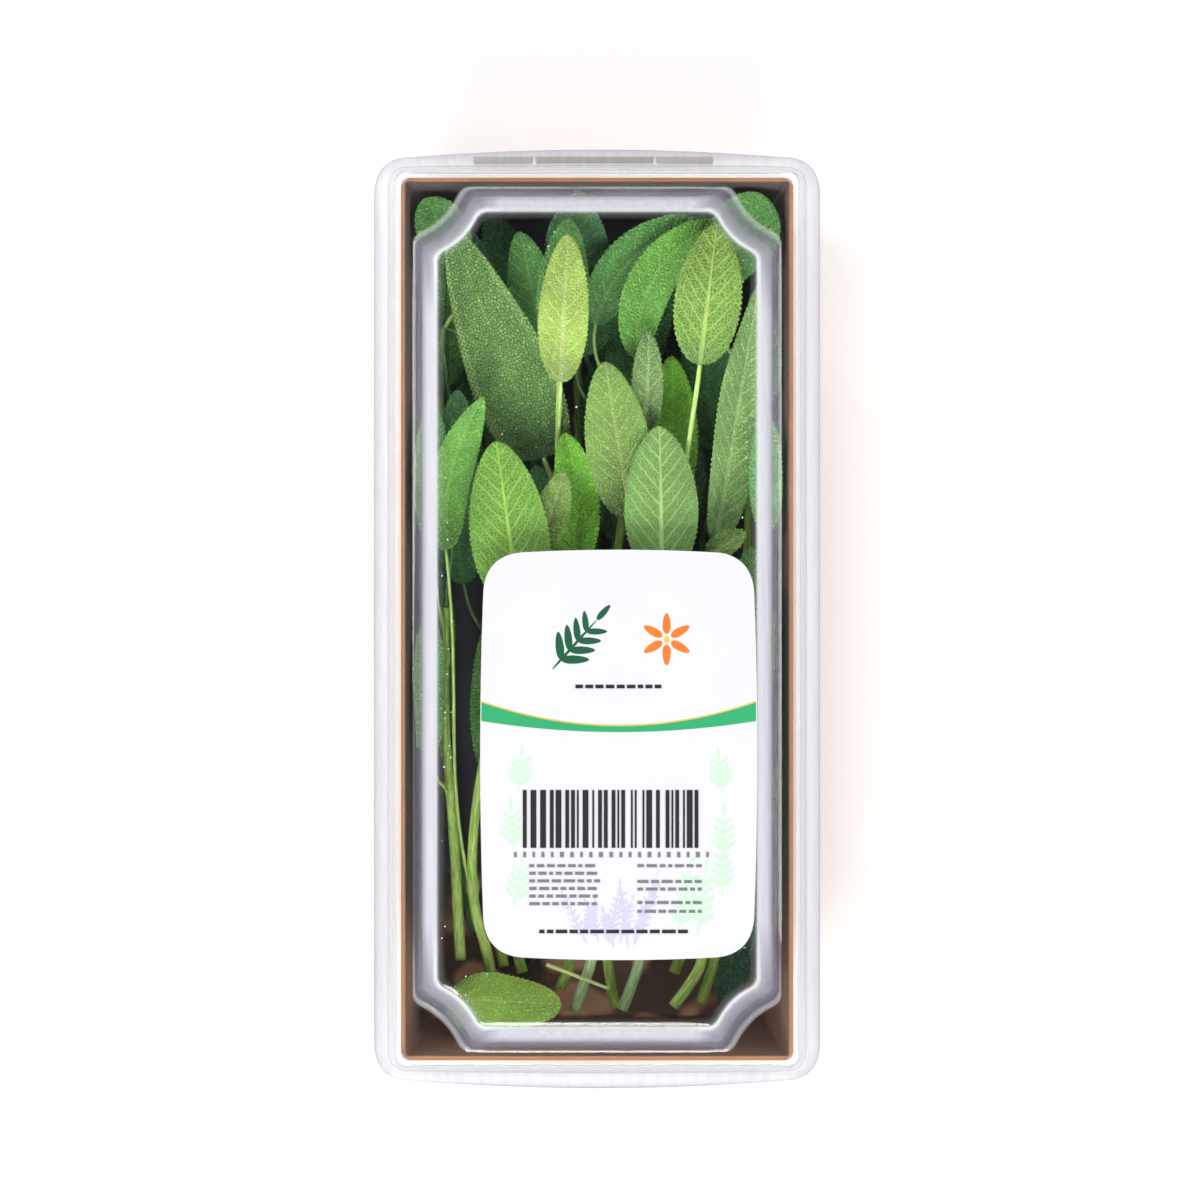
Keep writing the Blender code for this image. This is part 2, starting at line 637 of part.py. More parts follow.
def main():
    for old in list(bpy.data.objects):
        bpy.data.objects.remove(old)
    pack = bpy.data.collections.new("sage_bunch")
    bpy.context.scene.collection.children.link(pack)
    build_tray(pack)
    build_bunch(pack)
    build_lid(pack)
    build_label(pack)


main()
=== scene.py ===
# %% [markdown]
# A pack of fresh sage: sprigs and loose leaves lie in a folded kraft tray, under a clear formed lid
# with a paper label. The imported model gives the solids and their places, and this script dresses them.
# Leaves come first, because they are what the eye goes to, then the lid that they are seen through.

import math
import random
from collections import namedtuple

import bmesh
import bpy
import numpy as np
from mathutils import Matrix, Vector


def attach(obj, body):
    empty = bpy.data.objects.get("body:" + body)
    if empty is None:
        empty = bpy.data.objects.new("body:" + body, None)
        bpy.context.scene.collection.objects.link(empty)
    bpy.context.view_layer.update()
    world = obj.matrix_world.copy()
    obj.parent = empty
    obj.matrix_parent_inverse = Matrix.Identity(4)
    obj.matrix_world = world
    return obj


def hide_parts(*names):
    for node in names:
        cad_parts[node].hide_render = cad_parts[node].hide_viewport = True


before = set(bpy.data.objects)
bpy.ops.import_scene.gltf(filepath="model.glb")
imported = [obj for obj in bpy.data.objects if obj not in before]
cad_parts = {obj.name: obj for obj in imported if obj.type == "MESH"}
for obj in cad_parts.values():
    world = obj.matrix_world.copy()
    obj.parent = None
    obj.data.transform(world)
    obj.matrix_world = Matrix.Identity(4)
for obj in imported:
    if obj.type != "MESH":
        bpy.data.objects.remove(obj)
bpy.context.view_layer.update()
MM = 0.001
print("the packed model has", len(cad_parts), "nodes")

# %% [markdown]
# The photograph looks straight down, a little past the middle of the pack, from about half a metre.
# A long lens keeps the tray's walls narrow, as they are there. The floor is pale and the light is soft.
# The lid's flat panel would mirror a lamp above it, so the lamps stand well to the sides.

# %% The camera
CAMERA_PLACE = (0.5 * MM, 3.3 * MM, 530 * MM)
CAMERA_LENS = 86.5
CAMERA_NEAREST = 0.01

camera_data = bpy.data.cameras.new("camera")
camera_data.lens = CAMERA_LENS
camera_data.clip_start = CAMERA_NEAREST
camera = bpy.data.objects.new("camera", camera_data)
camera.location = CAMERA_PLACE
bpy.context.scene.collection.objects.link(camera)
bpy.context.scene.camera = camera
bpy.context.scene.view_settings.view_transform = "Standard"
print("the camera is", CAMERA_PLACE[2], "m up, with a lens of", CAMERA_LENS, "mm")

# %% Lamps
LAMPS = (
    ("lamp_left", (-0.8, 0.25, 0.5), 0.5, 0.8, 6.4),
    ("lamp_right", (0.8, 0.05, 0.46), 0.45, 0.8, 5.2),
    ("lamp_far", (0.05, 0.85, 0.42), 0.7, 0.4, 3.4),
    ("lamp_near", (-0.1, -0.72, 0.7), 0.6, 0.35, 7.2),
)


def softbox(name, place, width, length, watts):
    """A soft square lamp that faces the pack."""
    data = bpy.data.lights.new(name, "AREA")
    data.shape = "RECTANGLE"
    data.size = width
    data.size_y = length
    data.energy = watts
    lamp = bpy.data.objects.new(name, data)
    lamp.location = place
    lamp.rotation_euler = (-Vector(place)).to_track_quat("-Z", "Y").to_euler()
    bpy.context.scene.collection.objects.link(lamp)


for lamp_values in LAMPS:
    softbox(*lamp_values)
print("soft lamps:", len(LAMPS))

# %% The sky
SKY_STRENGTH = 0.38
SKY_RAMP = ((0.55, (0.85, 0.87, 0.9, 1)), (0.97, (0.12, 0.12, 0.13, 1)))

sky = bpy.data.worlds.new("sky")
bpy.context.scene.world = sky
sky.use_nodes = True
sky_tree = sky.node_tree
sky_glow = sky_tree.nodes["Background"]
sky_place = sky_tree.nodes.new("ShaderNodeTexCoord")
sky_split = sky_tree.nodes.new("ShaderNodeSeparateXYZ")
sky_ramp = sky_tree.nodes.new("ShaderNodeValToRGB")
for stop, (height, colour) in zip(sky_ramp.color_ramp.elements, SKY_RAMP):
    stop.position = height
    stop.color = colour
sky_tree.links.new(sky_place.outputs["Generated"], sky_split.inputs[0])
sky_tree.links.new(sky_split.outputs["Z"], sky_ramp.inputs[0])
sky_tree.links.new(sky_ramp.outputs[0], sky_glow.inputs["Color"])
sky_glow.inputs["Strength"].default_value = SKY_STRENGTH

# %% [markdown]
# Every finish here is a small tree of shader nodes. A few helpers keep the trees short: each adds one
# node, and its inputs may be numbers, colours or other nodes' sockets.

# %% Nodes and numbers


def node(tree, kind, **settings):
    """A new shader node with these settings."""
    made = tree.nodes.new("ShaderNode" + kind)
    for name, value in settings.items():
        setattr(made, name, value)
    return made


def feed(tree, socket, value):
    """Put a number, a colour or another node's socket into a socket."""
    if isinstance(value, bpy.types.NodeSocket):
        tree.links.new(value, socket)
    else:
        socket.default_value = value


def calc(tree, operation, *values):
    """A Math node's result."""
    made = node(tree, "Math", operation=operation)
    for socket, value in zip(made.inputs, values):
        feed(tree, socket, value)
    return made.outputs[0]


def band(tree, value, start, end, low=0.0, high=1.0):
    """A smooth change from low to high while value goes from start to end."""
    made = node(tree, "MapRange", interpolation_type="SMOOTHSTEP")
    for socket, given in zip(made.inputs, (value, start, end, low, high)):
        feed(tree, socket, given)
    return made.outputs[0]


# %% Colours and noise


def blend(tree, share, first, second, kind="MIX"):
    """Two colours mixed by a share."""
    made = node(tree, "Mix", data_type="RGBA", blend_type=kind)
    feed(tree, made.inputs["Factor"], share)
    feed(tree, made.inputs["A"], first)
    feed(tree, made.inputs["B"], second)
    return made.outputs["Result"]


def noise(tree, vector, scale, detail=2.0, roughness=0.5):
    """A Noise Texture's value."""
    made = node(tree, "TexNoise")
    feed(tree, made.inputs["Vector"], vector)
    made.inputs["Scale"].default_value = scale
    made.inputs["Detail"].default_value = detail
    made.inputs["Roughness"].default_value = roughness
    return made.outputs["Fac"]


def paint(code):
    """A screen colour such as 7fae62 as the linear colour that shaders take."""
    shares = [int(code[place:place + 2], 16) / 255 for place in (0, 2, 4)]
    return tuple(s / 12.92 if s <= 0.04045 else ((s + 0.055) / 1.055) ** 2.4 for s in shares) + (1.0,)


# %% Materials, attributes and groups


def new_material(name):
    """An empty finish: its tree and its Principled shader."""
    made = bpy.data.materials.new(name)
    made.use_nodes = True
    return made, made.node_tree, made.node_tree.nodes["Principled BSDF"]


def read(tree, name):
    """The piece's attribute of this name."""
    return node(tree, "Attribute", attribute_name=name)


def split(tree, vector):
    """The three parts of a vector."""
    made = node(tree, "SeparateXYZ")
    feed(tree, made.inputs[0], vector)
    return made.outputs


def bump(tree, height, depth, strength=1.0):
    """A Bump node's normal, for heights from 0 to 1 that stand for depth in metres."""
    made = node(tree, "Bump")
    feed(tree, made.inputs["Height"], height)
    made.inputs["Distance"].default_value = depth
    made.inputs["Strength"].default_value = strength
    return made.outputs["Normal"]


def group(name, takes, gives):
    """A node group with named sockets, and its input and output nodes."""
    tree = bpy.data.node_groups.new(name, "ShaderNodeTree")
    for label, kind in takes:
        tree.interface.new_socket(label, in_out="INPUT", socket_type="NodeSocket" + kind)
    for label, kind in gives:
        tree.interface.new_socket(label, in_out="OUTPUT", socket_type="NodeSocket" + kind)
    return tree, tree.nodes.new("NodeGroupInput"), tree.nodes.new("NodeGroupOutput")


# %% [markdown]
# Plant, board and paper all vary a little from place to place. One node group gives that mottling:
# broad clouds and a fine grain, each at a scale of its own, multiplied into a colour.

# %% The mottling group
GRAIN_SHARE = 0.6
MEAN_NOISE = 0.8

mottle, mottle_in, mottle_out = group(
    "mottling",
    (("Place", "Vector"), ("Colour", "Color"), ("Cloud scale", "Float"), ("Grain scale", "Float"),
     ("Amount", "Float")),
    (("Colour", "Color"), ("Grain", "Float")),
)


def mottle_noise(scale_name, detail):
    """A noise whose scale comes from one of the group's inputs."""
    made = node(mottle, "TexNoise")
    mottle.links.new(mottle_in.outputs["Place"], made.inputs["Vector"])
    mottle.links.new(mottle_in.outputs[scale_name], made.inputs["Scale"])
    made.inputs["Detail"].default_value = detail
    return made.outputs["Fac"]


clouds = mottle_noise("Cloud scale", detail=2)
grains = mottle_noise("Grain scale", detail=3)
noises = calc(mottle, "ADD", clouds, calc(mottle, "MULTIPLY", grains, GRAIN_SHARE))
light_and_dark = calc(mottle, "SUBTRACT", noises, MEAN_NOISE)
gain = calc(mottle, "ADD", 1.0, calc(mottle, "MULTIPLY", light_and_dark, mottle_in.outputs["Amount"]))
gain_colour = node(mottle, "CombineColor")
for part in gain_colour.inputs:
    feed(mottle, part, gain)
mottled = blend(mottle, 1.0, mottle_in.outputs["Colour"], gain_colour.outputs[0], "MULTIPLY")
mottle.links.new(mottled, mottle_out.inputs["Colour"])
mottle.links.new(grains, mottle_out.inputs["Grain"])


def mottled_colour(tree, place, colour, cloud_scale, grain_scale, amount):
    """The mottling group, placed in a material: its colour and its grain."""
    made = node(tree, "Group", node_tree=mottle)
    for label, value in zip(
        ("Place", "Colour", "Cloud scale", "Grain scale", "Amount"),
        (place, colour, cloud_scale, grain_scale, amount),
    ):
        feed(tree, made.inputs[label], value)
    return made.outputs["Colour"], made.outputs["Grain"]


print("the mottling group has", len(mottle.nodes), "nodes")

# %% [markdown]
# The sage is described by numbers: a stem by the points that it passes through, and a leaf by where its
# blade starts, which way it heads, and how it bends, pitches, rolls and folds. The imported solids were
# made from the same numbers, so the fine leaves below land where the solids lie.
# Each leaf also has a look, the way that its colour and veins show in the photograph.

# %% What describes a leaf
Leaf = namedtuple(
    "Leaf",
    "stem at x y z heading length width bend pitch arch roll fold full look",
    defaults=(0, 10, -16, 0, 12, 0.82, "mid"),
)
print("a leaf is", len(Leaf._fields), "values:", ", ".join(Leaf._fields))

# %% Stems
STEMS = {
    "sprig_left_tall": (
        (-24.7, -61.5, 9), (-25.3, -47, 12), (-26, -34, 14.5), (-27, -18, 17), (-26.8, 2, 19),
    ),
    "sprig_left_main": (
        (-19.2, -64.3, 8.5), (-20.5, -57.5, 10.5), (-22.3, -49, 14), (-21.8, -36, 17), (-19.5, -22, 19),
        (-15.5, -8, 22),
    ),
    "sprig_left_pair": ((-17, -63, 6.5), (-18, -55, 8), (-17.5, -40, 11), (-13, -18, 16), (-8.6, -2, 21)),
    "sprig_young": ((-13.6, -64.4, 5.5), (-14.6, -58, 6), (-12.5, -40, 7.5), (-9, -5, 10), (-7.2, 26, 17)),
    "sprig_middle": ((-4, -70.2, 13.5), (-0.2, -58, 14.5), (3.8, -36, 17.5), (5.6, 4, 23.5)),
    "sprig_arched": ((3.2, -70.4, 8), (1.6, -58, 8.5), (0.5, -30, 9), (3.5, 10, 11), (6.8, 34, 20)),
    "sprig_middle_broad": ((4.5, -70.2, 12), (8.2, -58.5, 13), (10.5, -34, 16.5), (11.5, -4, 23)),
    "sprig_long_petiole": ((13.8, -69.8, 10.5), (19.2, -58.7, 12.5), (17.5, -30, 15), (14.8, 2, 20.5)),
    "sprig_right": ((18.8, -69.3, 8.5), (21.5, -58.7, 10), (23, -32, 14), (20.8, 2, 22)),
    "sprig_corner": ((-22.5, -57, 4), (-27, -30, 6), (-29, 10, 8), (-28.5, 40, 12), (-27.5, 52, 18)),
    "sprig_far_end": ((-6.7, -67.2, 7), (-4.7, -58.7, 7), (-3.5, -20, 6), (-3.5, 42, 7.5), (-4.5, 54, 9)),
    "sprig_far_right": ((14, -64.2, 6.5), (16.5, -55, 7.5), (25.5, -10, 8), (27.5, 28, 10), (26.5, 42, 17)),
    "loose_stalk": ((-9, -61.4, 17.3), (-4, -62.4, 17.6), (0.6, -64.2, 16.4), (2, -66, 15)),
    "loose_leaf_front": ((-30.2, -65.6, 17.4), (-28.6, -66.8, 17.6)),
    "loose_leaf_right": ((27.2, -37, 4), (27.1, -40, 4)),
    "loose_leaf_low": ((-5, -41.5, 2.6), (-5.7, -43.3, 2.6)),
}
print("stems placed by eye:", len(STEMS))

# %% Leaves
LEAVES = (
    Leaf("sprig_left_main", 1.0, -13.3, 1.6, 30, -8, 29.5, 13.6, 0, 10, -18, 180, -8, look="net_bright"),
    Leaf("sprig_middle_broad", 1.0, 11.3, 7.5, 29.5, -1, 26, 12.8, 0, 12, -20, 180, -8, look="net_grey"),
    Leaf("sprig_long_petiole", 1.0, 17.8, 44, 31, 7, 24.5, 11.6, 0, 6, -12, 180, -8, look="net_yellow"),
    Leaf("sprig_young", 1.0, -6.3, 41.2, 28.5, 2, 25.6, 8.7, 2, 16, -22, look="lime"),
    Leaf("sprig_left_pair", 0.97, -10.2, 11.5, 28.5, 18, 14.8, 6.4, look="fresh"),
    Leaf("sprig_middle", 1.0, 6.0, 17.3, 28, -11, 28, 11.4, 3, 14, -22, 0, 8, look="fresh"),
    Leaf("sprig_middle_broad", 0.97, 19, 11.2, 27, 60, 8, 4.4, look="fresh"),
    Leaf("sprig_left_pair", 1.0, -4.4, 8.5, 24.5, 10, 24.5, 8.2, -26, 14, -24, 0, 18, look="vivid"),
    Leaf("sprig_long_petiole", 0.93, 8.7, 33, 28, 0, 17.4, 5.6, 2, 12, -16, look="pale_small"),
    Leaf("sprig_arched", 1.0, 7.2, 45.8, 26.5, -8, 30, 8.2, 78, 14, -24, 0, 16, look="sickle"),
    Leaf("sprig_right", 1.0, 20.7, 13.5, 27, 9, 45.5, 10, 1, 6, -8, -32, 18, look="pale"),
    Leaf("sprig_young", 0.95, -6.6, 45.5, 26, 3, 24.5, 9, 2, 14, -22),
    Leaf("sprig_left_main", 0.3, -26.3, 12, 28, -6, 28, 7.5, 40, 8, -12, -28, 18, look="sickle"),
    Leaf("sprig_young", 0.75, -9.5, 28.5, 20, -23, 43.5, 15.6, 2, 20, -10, 16, -8, 0.56, look="pebbled"),
    Leaf("sprig_left_tall", 0.86, -28.9, 13, 26, 0, 25.5, 6.2, 0, 8, -14, -22, look="mid"),
    Leaf("sprig_left_tall", 0.5, -29.6, -24, 26, 0, 26, 6.2, 0, 6, -12, -35, look="mid"),
    Leaf("sprig_left_pair", 0.5, -18, -30, 23, -1, 31, 9),
    Leaf("sprig_young", 0.9, -8.6, 44.5, 24, -12, 24.5, 9),
    Leaf("sprig_arched", 0.95, -0.2, 52, 25, 14, 27, 8.6, 62, 12, -18, 0, 14, look="mid"),
    Leaf("sprig_left_tall", 1.0, -25.3, 15.3, 22, 2, 25, 7.8, look="deep"),
    Leaf("sprig_left_pair", 0.9, -11, 13, 22, 2, 14, 6, look="deep"),
    Leaf("sprig_left_main", 0.9, -16.5, 16, 21, 4, 17, 6, look="deep"),
    Leaf("sprig_middle_broad", 0.88, 13.2, 20, 23, 1, 26.5, 9, -2, 10, -12, look="vivid"),
    Leaf("sprig_arched", 0.9, -3, 47, 20, 24, 26, 9, 24, look="deep"),
    Leaf("sprig_far_right", 0.95, 29.2, 36, 26, 1, 21, 6.8, -3, 6, -8, 34, look="blue"),
    Leaf("sprig_far_right", 0.85, 29.3, 15, 28.4, 0, 21, 5.8, 0, 2, -4, 0, 4),
    Leaf("sprig_far_end", 1.0, -3.6, 59, 13, 0, 22.5, 11.4, 0, 50, -6, 0, 6, look="deep"),
    Leaf("sprig_far_right", 1.0, 20.2, 56.2, 25, 26, 20, 12, 0, 10, -12, 0, 12, 1.5),
    Leaf("sprig_corner", 0.94, -23, 60.5, 25, -28, 15, 9, 0, 8, -8, 0, 12, 1.3, look="mid"),
    Leaf("sprig_corner", 0.97, -18, 48, 23, -12, 21, 5.8, look="blue"),
    Leaf("sprig_corner", 0.85, -25, 33, 16, 2, 27.5, 8.8, look="deep"),
    Leaf("sprig_right", 0.7, 26.8, -19, 23, 0, 32, 8.4),
    Leaf("sprig_right", 0.45, 28.7, -42, 20, 0, 25, 5.2),
    Leaf("loose_leaf_front", 1.0, -26.6, -67.6, 18, 93, 20.2, 13, 0, 2, -6, 40, -6, look="front"),
    Leaf("loose_leaf_right", 1.0, 25.8, -43.5, 4.6, 184, 28, 9.4, 0, 2, -4, 0, 4, look="blue"),
    Leaf("loose_leaf_low", 1.0, -6.5, -45, 2.6, 202, 20, 8.6, 0, 0, 0, 0, 2, look="deep"),
    Leaf("sprig_middle", 0.6, 0, -24, 24, -10, 28, 10),
    Leaf("sprig_middle_broad", 0.6, 13, -24, 23, 12, 28, 10),
    Leaf("sprig_middle", 0.8, 9, -8, 20, 8, 26, 9, look="deep"),
    Leaf("sprig_far_end", 0.9, 4, 38, 14, 16, 28, 10, look="deep"),
    Leaf("sprig_far_end", 0.85, -11, 34, 13, -16, 28, 10, look="deep"),
    Leaf("sprig_far_right", 0.8, 21, 30, 15, -6, 27, 9.5, look="deep"),
    Leaf("sprig_corner", 0.62, -28, -22, 15, 0, 31, 6.2, 0, 10, -14, -42, look="deep"),
    Leaf("sprig_corner", 0.9, -26.6, 42, 24, 0, 26, 7.6, 0, 10, -14, -10, look="mid"),
    Leaf("sprig_far_right", 0.9, 28.6, 33, 19, 0, 26, 6.2, 0, 12, -16, 42, look="blue"),
    Leaf("sprig_far_right", 0.5, 28, -26, 14, 0, 28, 6.2, 0, 10, -14, 42, look="deep"),
    Leaf("sprig_far_end", 0.97, 9, 50, 12, 22, 25, 10, 6, 16, -18, look="deep"),
    Leaf("sprig_far_end", 0.94, -12, 49, 12, -14, 25, 10, -6, 16, -18, look="deep"),
)
print("leaves placed by eye:", len(LEAVES))

# %% [markdown]
# Below the sprigs that show, the tray is filled with low ones. Nobody placed those by eye: a rule sets
# them side by side, and a random generator with a fixed seed varies them, so every run gives the same.

# %% The low sprigs
LOW_SEED = 11
LOW_STEMS = 5
LOW_LEAVES = 7
LOW_SPREAD = 20
LOW_CUT_Y = -38
LOW_TOP_Y = (26, 36)
LEAF_SHARE = 0.13


def low_sprigs():
    """Low stems side by side, and leaves spread along each on alternate sides."""
    draw = random.Random(LOW_SEED)
    stems, leaves = {}, []
    for number in range(LOW_STEMS):
        name = f"sprig_low_{number + 1}"
        across = LOW_SPREAD * (2 * number / (LOW_STEMS - 1) - 1)
        top_y = draw.uniform(*LOW_TOP_Y)
        stems[name] = ((0.8 * across, LOW_CUT_Y, 2.8), (0.9 * across, -10, 3), (across, top_y, 4.5))
        for place in range(LOW_LEAVES):
            side = 1 if place % 2 else -1
            at = 1 - LEAF_SHARE * place
            leaves.append(Leaf(
                stem=name,
                at=at,
                x=across + side * draw.uniform(1, 4),
                y=LOW_CUT_Y + at * (top_y - LOW_CUT_Y) + draw.uniform(8, 12),
                z=draw.uniform(7, 16),
                heading=side * draw.uniform(0, 20),
                length=draw.uniform(20, 27),
                width=draw.uniform(8, 10.5),
                bend=draw.uniform(-14, 14),
                pitch=draw.uniform(6, 14),
                roll=draw.uniform(-20, 20),
                look="deep",
            ))
    return stems, leaves


low_stems, low_leaves = low_sprigs()
print("low sprigs:", len(low_stems), "stems and up to", len(low_leaves), "leaves")

# %% [markdown]
# A stem is a smooth line through its points. A blade is a strip around its midrib: the midrib is walked
# in small steps in a direction that turns along it, and at each place the strip reaches out sideways.
# Working with shares of length and width lets one rule give every leaf.

# %% A smooth line


def along(points, steps):
    """A smooth line of steps + 1 points through the given ones."""
    knots = np.array(points, float)
    padded = np.vstack([2 * knots[0] - knots[1], knots, 2 * knots[-1] - knots[-2]])
    spans = len(knots) - 1
    line = []
    for share in np.linspace(0, spans, steps + 1):
        span = min(int(share), spans - 1)
        t = share - span
        before, start, end, after = padded[span:span + 4]
        line.append(0.5 * (
            2 * start
            + (end - before) * t
            + (2 * before - 5 * start + 4 * end - after) * t * t
            + (3 * start - before - 3 * end + after) * t ** 3
        ))
    return np.array(line)


print("the young sprig's stem in 20 steps:", len(along(STEMS["sprig_young"], 20)), "points")

# %% A blade's directions and its midrib
MIDRIB_STEPS = 24


def directions(leaf, u):
    """Tangent, sideways and upward unit vectors of a blade at shares u of its length."""
    heading = np.radians(leaf.heading + leaf.bend * u)
    pitch = np.radians(leaf.pitch + leaf.arch * u)
    roll = math.radians(leaf.roll)
    level = np.zeros_like(heading)
    tangent = np.stack(
        [np.cos(pitch) * np.sin(heading), np.cos(pitch) * np.cos(heading), np.sin(pitch)], -1
    )
    level_side = np.stack([np.cos(heading), -np.sin(heading), level], -1)
    level_up = np.cross(level_side, tangent)
    side = level_side * math.cos(roll) + level_up * math.sin(roll)
    return tangent, side, np.cross(side, tangent)


def midrib(leaf, u):
    """Points of the midrib at shares u of the blade's length."""
    ends = np.linspace(0, 1, MIDRIB_STEPS + 1)
    tangent = directions(leaf, (ends[1:] + ends[:-1]) / 2)[0]
    run = np.vstack([np.zeros(3), np.cumsum(tangent, 0) * leaf.length / MIDRIB_STEPS])
    offsets = np.stack([np.interp(u, ends, run[:, axis]) for axis in range(3)], -1)
    return np.array([leaf.x, leaf.y, leaf.z]) + offsets


print("the first leaf's tip is at", midrib(LEAVES[0], np.ones(1))[0].round(1))

# %% A leaf's stalk
PETIOLE_PULL = 0.42


def petiole_path(line, leaf, steps):
    """A leaf's stalk: it leaves the stem along it and runs on into the midrib."""
    place = leaf.at * (len(line) - 1)
    first = min(int(place), len(line) - 2)
    run = line[first + 1] - line[first]
    root = line[first] + (place - first) * run
    start = np.zeros(1)
    tangent, _, _ = directions(leaf, start)
    base = midrib(leaf, start)[0]
    pull = PETIOLE_PULL * np.linalg.norm(base - root)
    out = root + run / np.linalg.norm(run) * pull
    arrive = base - tangent[0] * pull
    path = []
    for t in np.linspace(0, 1, steps + 1):
        path.append(
            root * (1 - t) ** 3
            + 3 * out * t * (1 - t) ** 2
            + 3 * arrive * t * t * (1 - t)
            + base * t ** 3
        )
    return np.array(path)


# %% [markdown]
# When the solids were made, each stem and leaf was moved up or down in half-millimetre steps until it
# was clear of the others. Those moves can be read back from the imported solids: the coarse blade's tip
# has one corner just above its middle surface and one just below, so the height at which both are
# equally near is the one that was used. A leaf with no such height found no room, and isn't there.

# %% The solids' corners
corners_of = {}
for name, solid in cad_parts.items():
    flat = np.empty(len(solid.data.vertices) * 3)
    solid.data.vertices.foreach_get("co", flat)
    corners_of[name] = np.unique(np.round(flat.reshape(-1, 3) / MM, 4), axis=0)
print("corners read:", sum(len(corners) for corners in corners_of.values()))

# %% How well a height fits
SHIFT_STEP = 0.5
SHIFTS = 24
NEAR_ENOUGH = 0.06


def misfit(corners, point, count, distance):
    """How far the nearest corners are from lying at one distance from a point."""
    near = np.sort(np.linalg.norm(corners - point, axis=1))[:count]
    return np.abs(near - distance).max()


def best_shift(corners, points, count, distance):
    """The change of height at which the points fit the solid's corners best, or None."""
    scores = {}
    for step in range(-SHIFTS, SHIFTS + 1):
        lift = np.array([0, 0, step * SHIFT_STEP])
        scores[step * SHIFT_STEP] = max(misfit(corners, point + lift, count, distance) for point in points)
    shift = min(scores, key=scores.get)
    return shift if scores[shift] < NEAR_ENOUGH else None


# %% The tip of a coarse blade
BLADE = 0.7
LEAST_WIDTH = 0.16
SCALLOP = 0.04
WAVE = 0.45
WAVES = 1.5


def tip_points(leaf):
    """The three points of the coarse blade's tip, on its middle surface."""
    end = np.ones(1)
    _, side, up = directions(leaf, end)
    points = []
    for v in (-1, 0, 1):
        half = LEAST_WIDTH * leaf.width / 2
        rise = math.tan(math.radians(leaf.fold)) * abs(v) * half
        ripple = WAVE * v * v * math.sin(2 * math.pi * WAVES + v)
        out = v * half * (1 - SCALLOP * abs(v))
        points.append(midrib(leaf, end)[0] + side[0] * out + up[0] * (rise + ripple))
    return points


# %% Reading the heights from the solids
STEM_PIECE = 10
STEM_RADIUS = (1.25, 0.85)
PETIOLE_RADIUS = (0.62, 0.5)
CUT_CORNERS = 4
TIP_CORNERS = 2

stem_lines = {}
for name, points in {**STEMS, **low_stems}.items():
    reach = np.linalg.norm(np.diff(np.array(points, float), axis=0), axis=1).sum()
    line = along(points, max(1, round(reach / STEM_PIECE)))
    radius = PETIOLE_RADIUS[0] if name.startswith("loose") else STEM_RADIUS[0]
    shift = None
    if name in corners_of:
        shift = best_shift(corners_of[name], [line[0]], CUT_CORNERS, radius)
    if shift is not None:
        stem_lines[name] = line + np.array([0, 0, shift])
    else:
        print("no stem for", name)

leaves_of = {name: [] for name in stem_lines}
for leaf in LEAVES + tuple(low_leaves):
    if leaf.stem not in stem_lines:
        continue
    shift = best_shift(corners_of[leaf.stem], tip_points(leaf), TIP_CORNERS, BLADE / 2)
    if shift is not None:
        leaves_of[leaf.stem].append(leaf._replace(z=leaf.z + shift))
print("leaves with room:", sum(len(found) for found in leaves_of.values()))

# %% [markdown]
# A sage blade is wrinkled like a quilt. Side veins leave the midrib at an angle and a fine net of veins
# fills the space between, so the upper face is all small pebbles and the under face a raised net.
# The large forms are modelled: the folded midrib, a soft swelling between the side veins, and the
# small round teeth of the margin. The finest relief is left to the finish, where it costs no faces.

# %% A fine blade
ROW = 0.36
COLUMNS = 20
BLADE_MIDDLE = 0.46
BLADE_EDGE = 0.16
TOOTH_PITCH = 0.95
TOOTH_DEPTH = 0.2
SIDE_VEIN_PITCH = 2.7
SIDE_VEIN_LEAN = 1.05
SIDE_VEIN_CURL = 0.05
QUILT = 0.14
RIB_GROOVE = 0.2
RIB_RIDGE = 0.3
RIB_WIDTH = 0.7
RIB_FADE = 0.6
FULLNESS = 0.54
NARROWEST = 0.05
TOOTH_FALL = 8
QUILT_FALL = 6
EDGE_FALL = 4


def side_vein_phase(across, run):
    """A number that grows by one from each side vein to the next."""
    reach = np.abs(across)
    return (run - SIDE_VEIN_LEAN * reach - SIDE_VEIN_CURL * reach ** 2) / SIDE_VEIN_PITCH + 0.5 * (across > 0)


def blade_outline(leaf, u):
    """The blade's width at shares u of its length, as a share of the greatest, and half of it in mm."""
    outline = np.sin(np.pi * np.clip(u, 0, 1) ** leaf.full) ** FULLNESS
    return outline, leaf.width / 2 * np.maximum(outline, NARROWEST)


def fine_points(leaf, u, v, upper):
    """Points on the two faces of a blade, with its teeth, quilting and midrib."""
    _, side, up = directions(leaf, u)
    outline, half = blade_outline(leaf, u)
    run = u * leaf.length
    tooth = TOOTH_DEPTH * np.abs(v) ** TOOTH_FALL * np.cos(2 * np.pi * run / TOOTH_PITCH) * outline
    across = v * half
    out = across + np.sign(v) * tooth
    rise = math.tan(math.radians(leaf.fold)) * np.abs(across)
    ripple = WAVE * v * v * np.sin(2 * np.pi * WAVES * u + v)
    calm = outline * (1 - v ** QUILT_FALL)
    quilt = -QUILT * np.cos(2 * np.pi * side_vein_phase(across, run)) * calm * np.minimum(np.abs(across), 1)
    near_rib = np.exp(-(across / RIB_WIDTH) ** 2) * (1 - RIB_FADE * u)
    thick = BLADE_EDGE + (BLADE_MIDDLE - BLADE_EDGE) * np.sqrt(np.clip(1 - v ** EDGE_FALL, 0, 1))
    face = np.where(upper, thick / 2 - RIB_GROOVE * near_rib, -thick / 2 - RIB_RIDGE * near_rib)
    return midrib(leaf, u) + side * out[:, None] + up * (rise + ripple + quilt + face)[:, None]


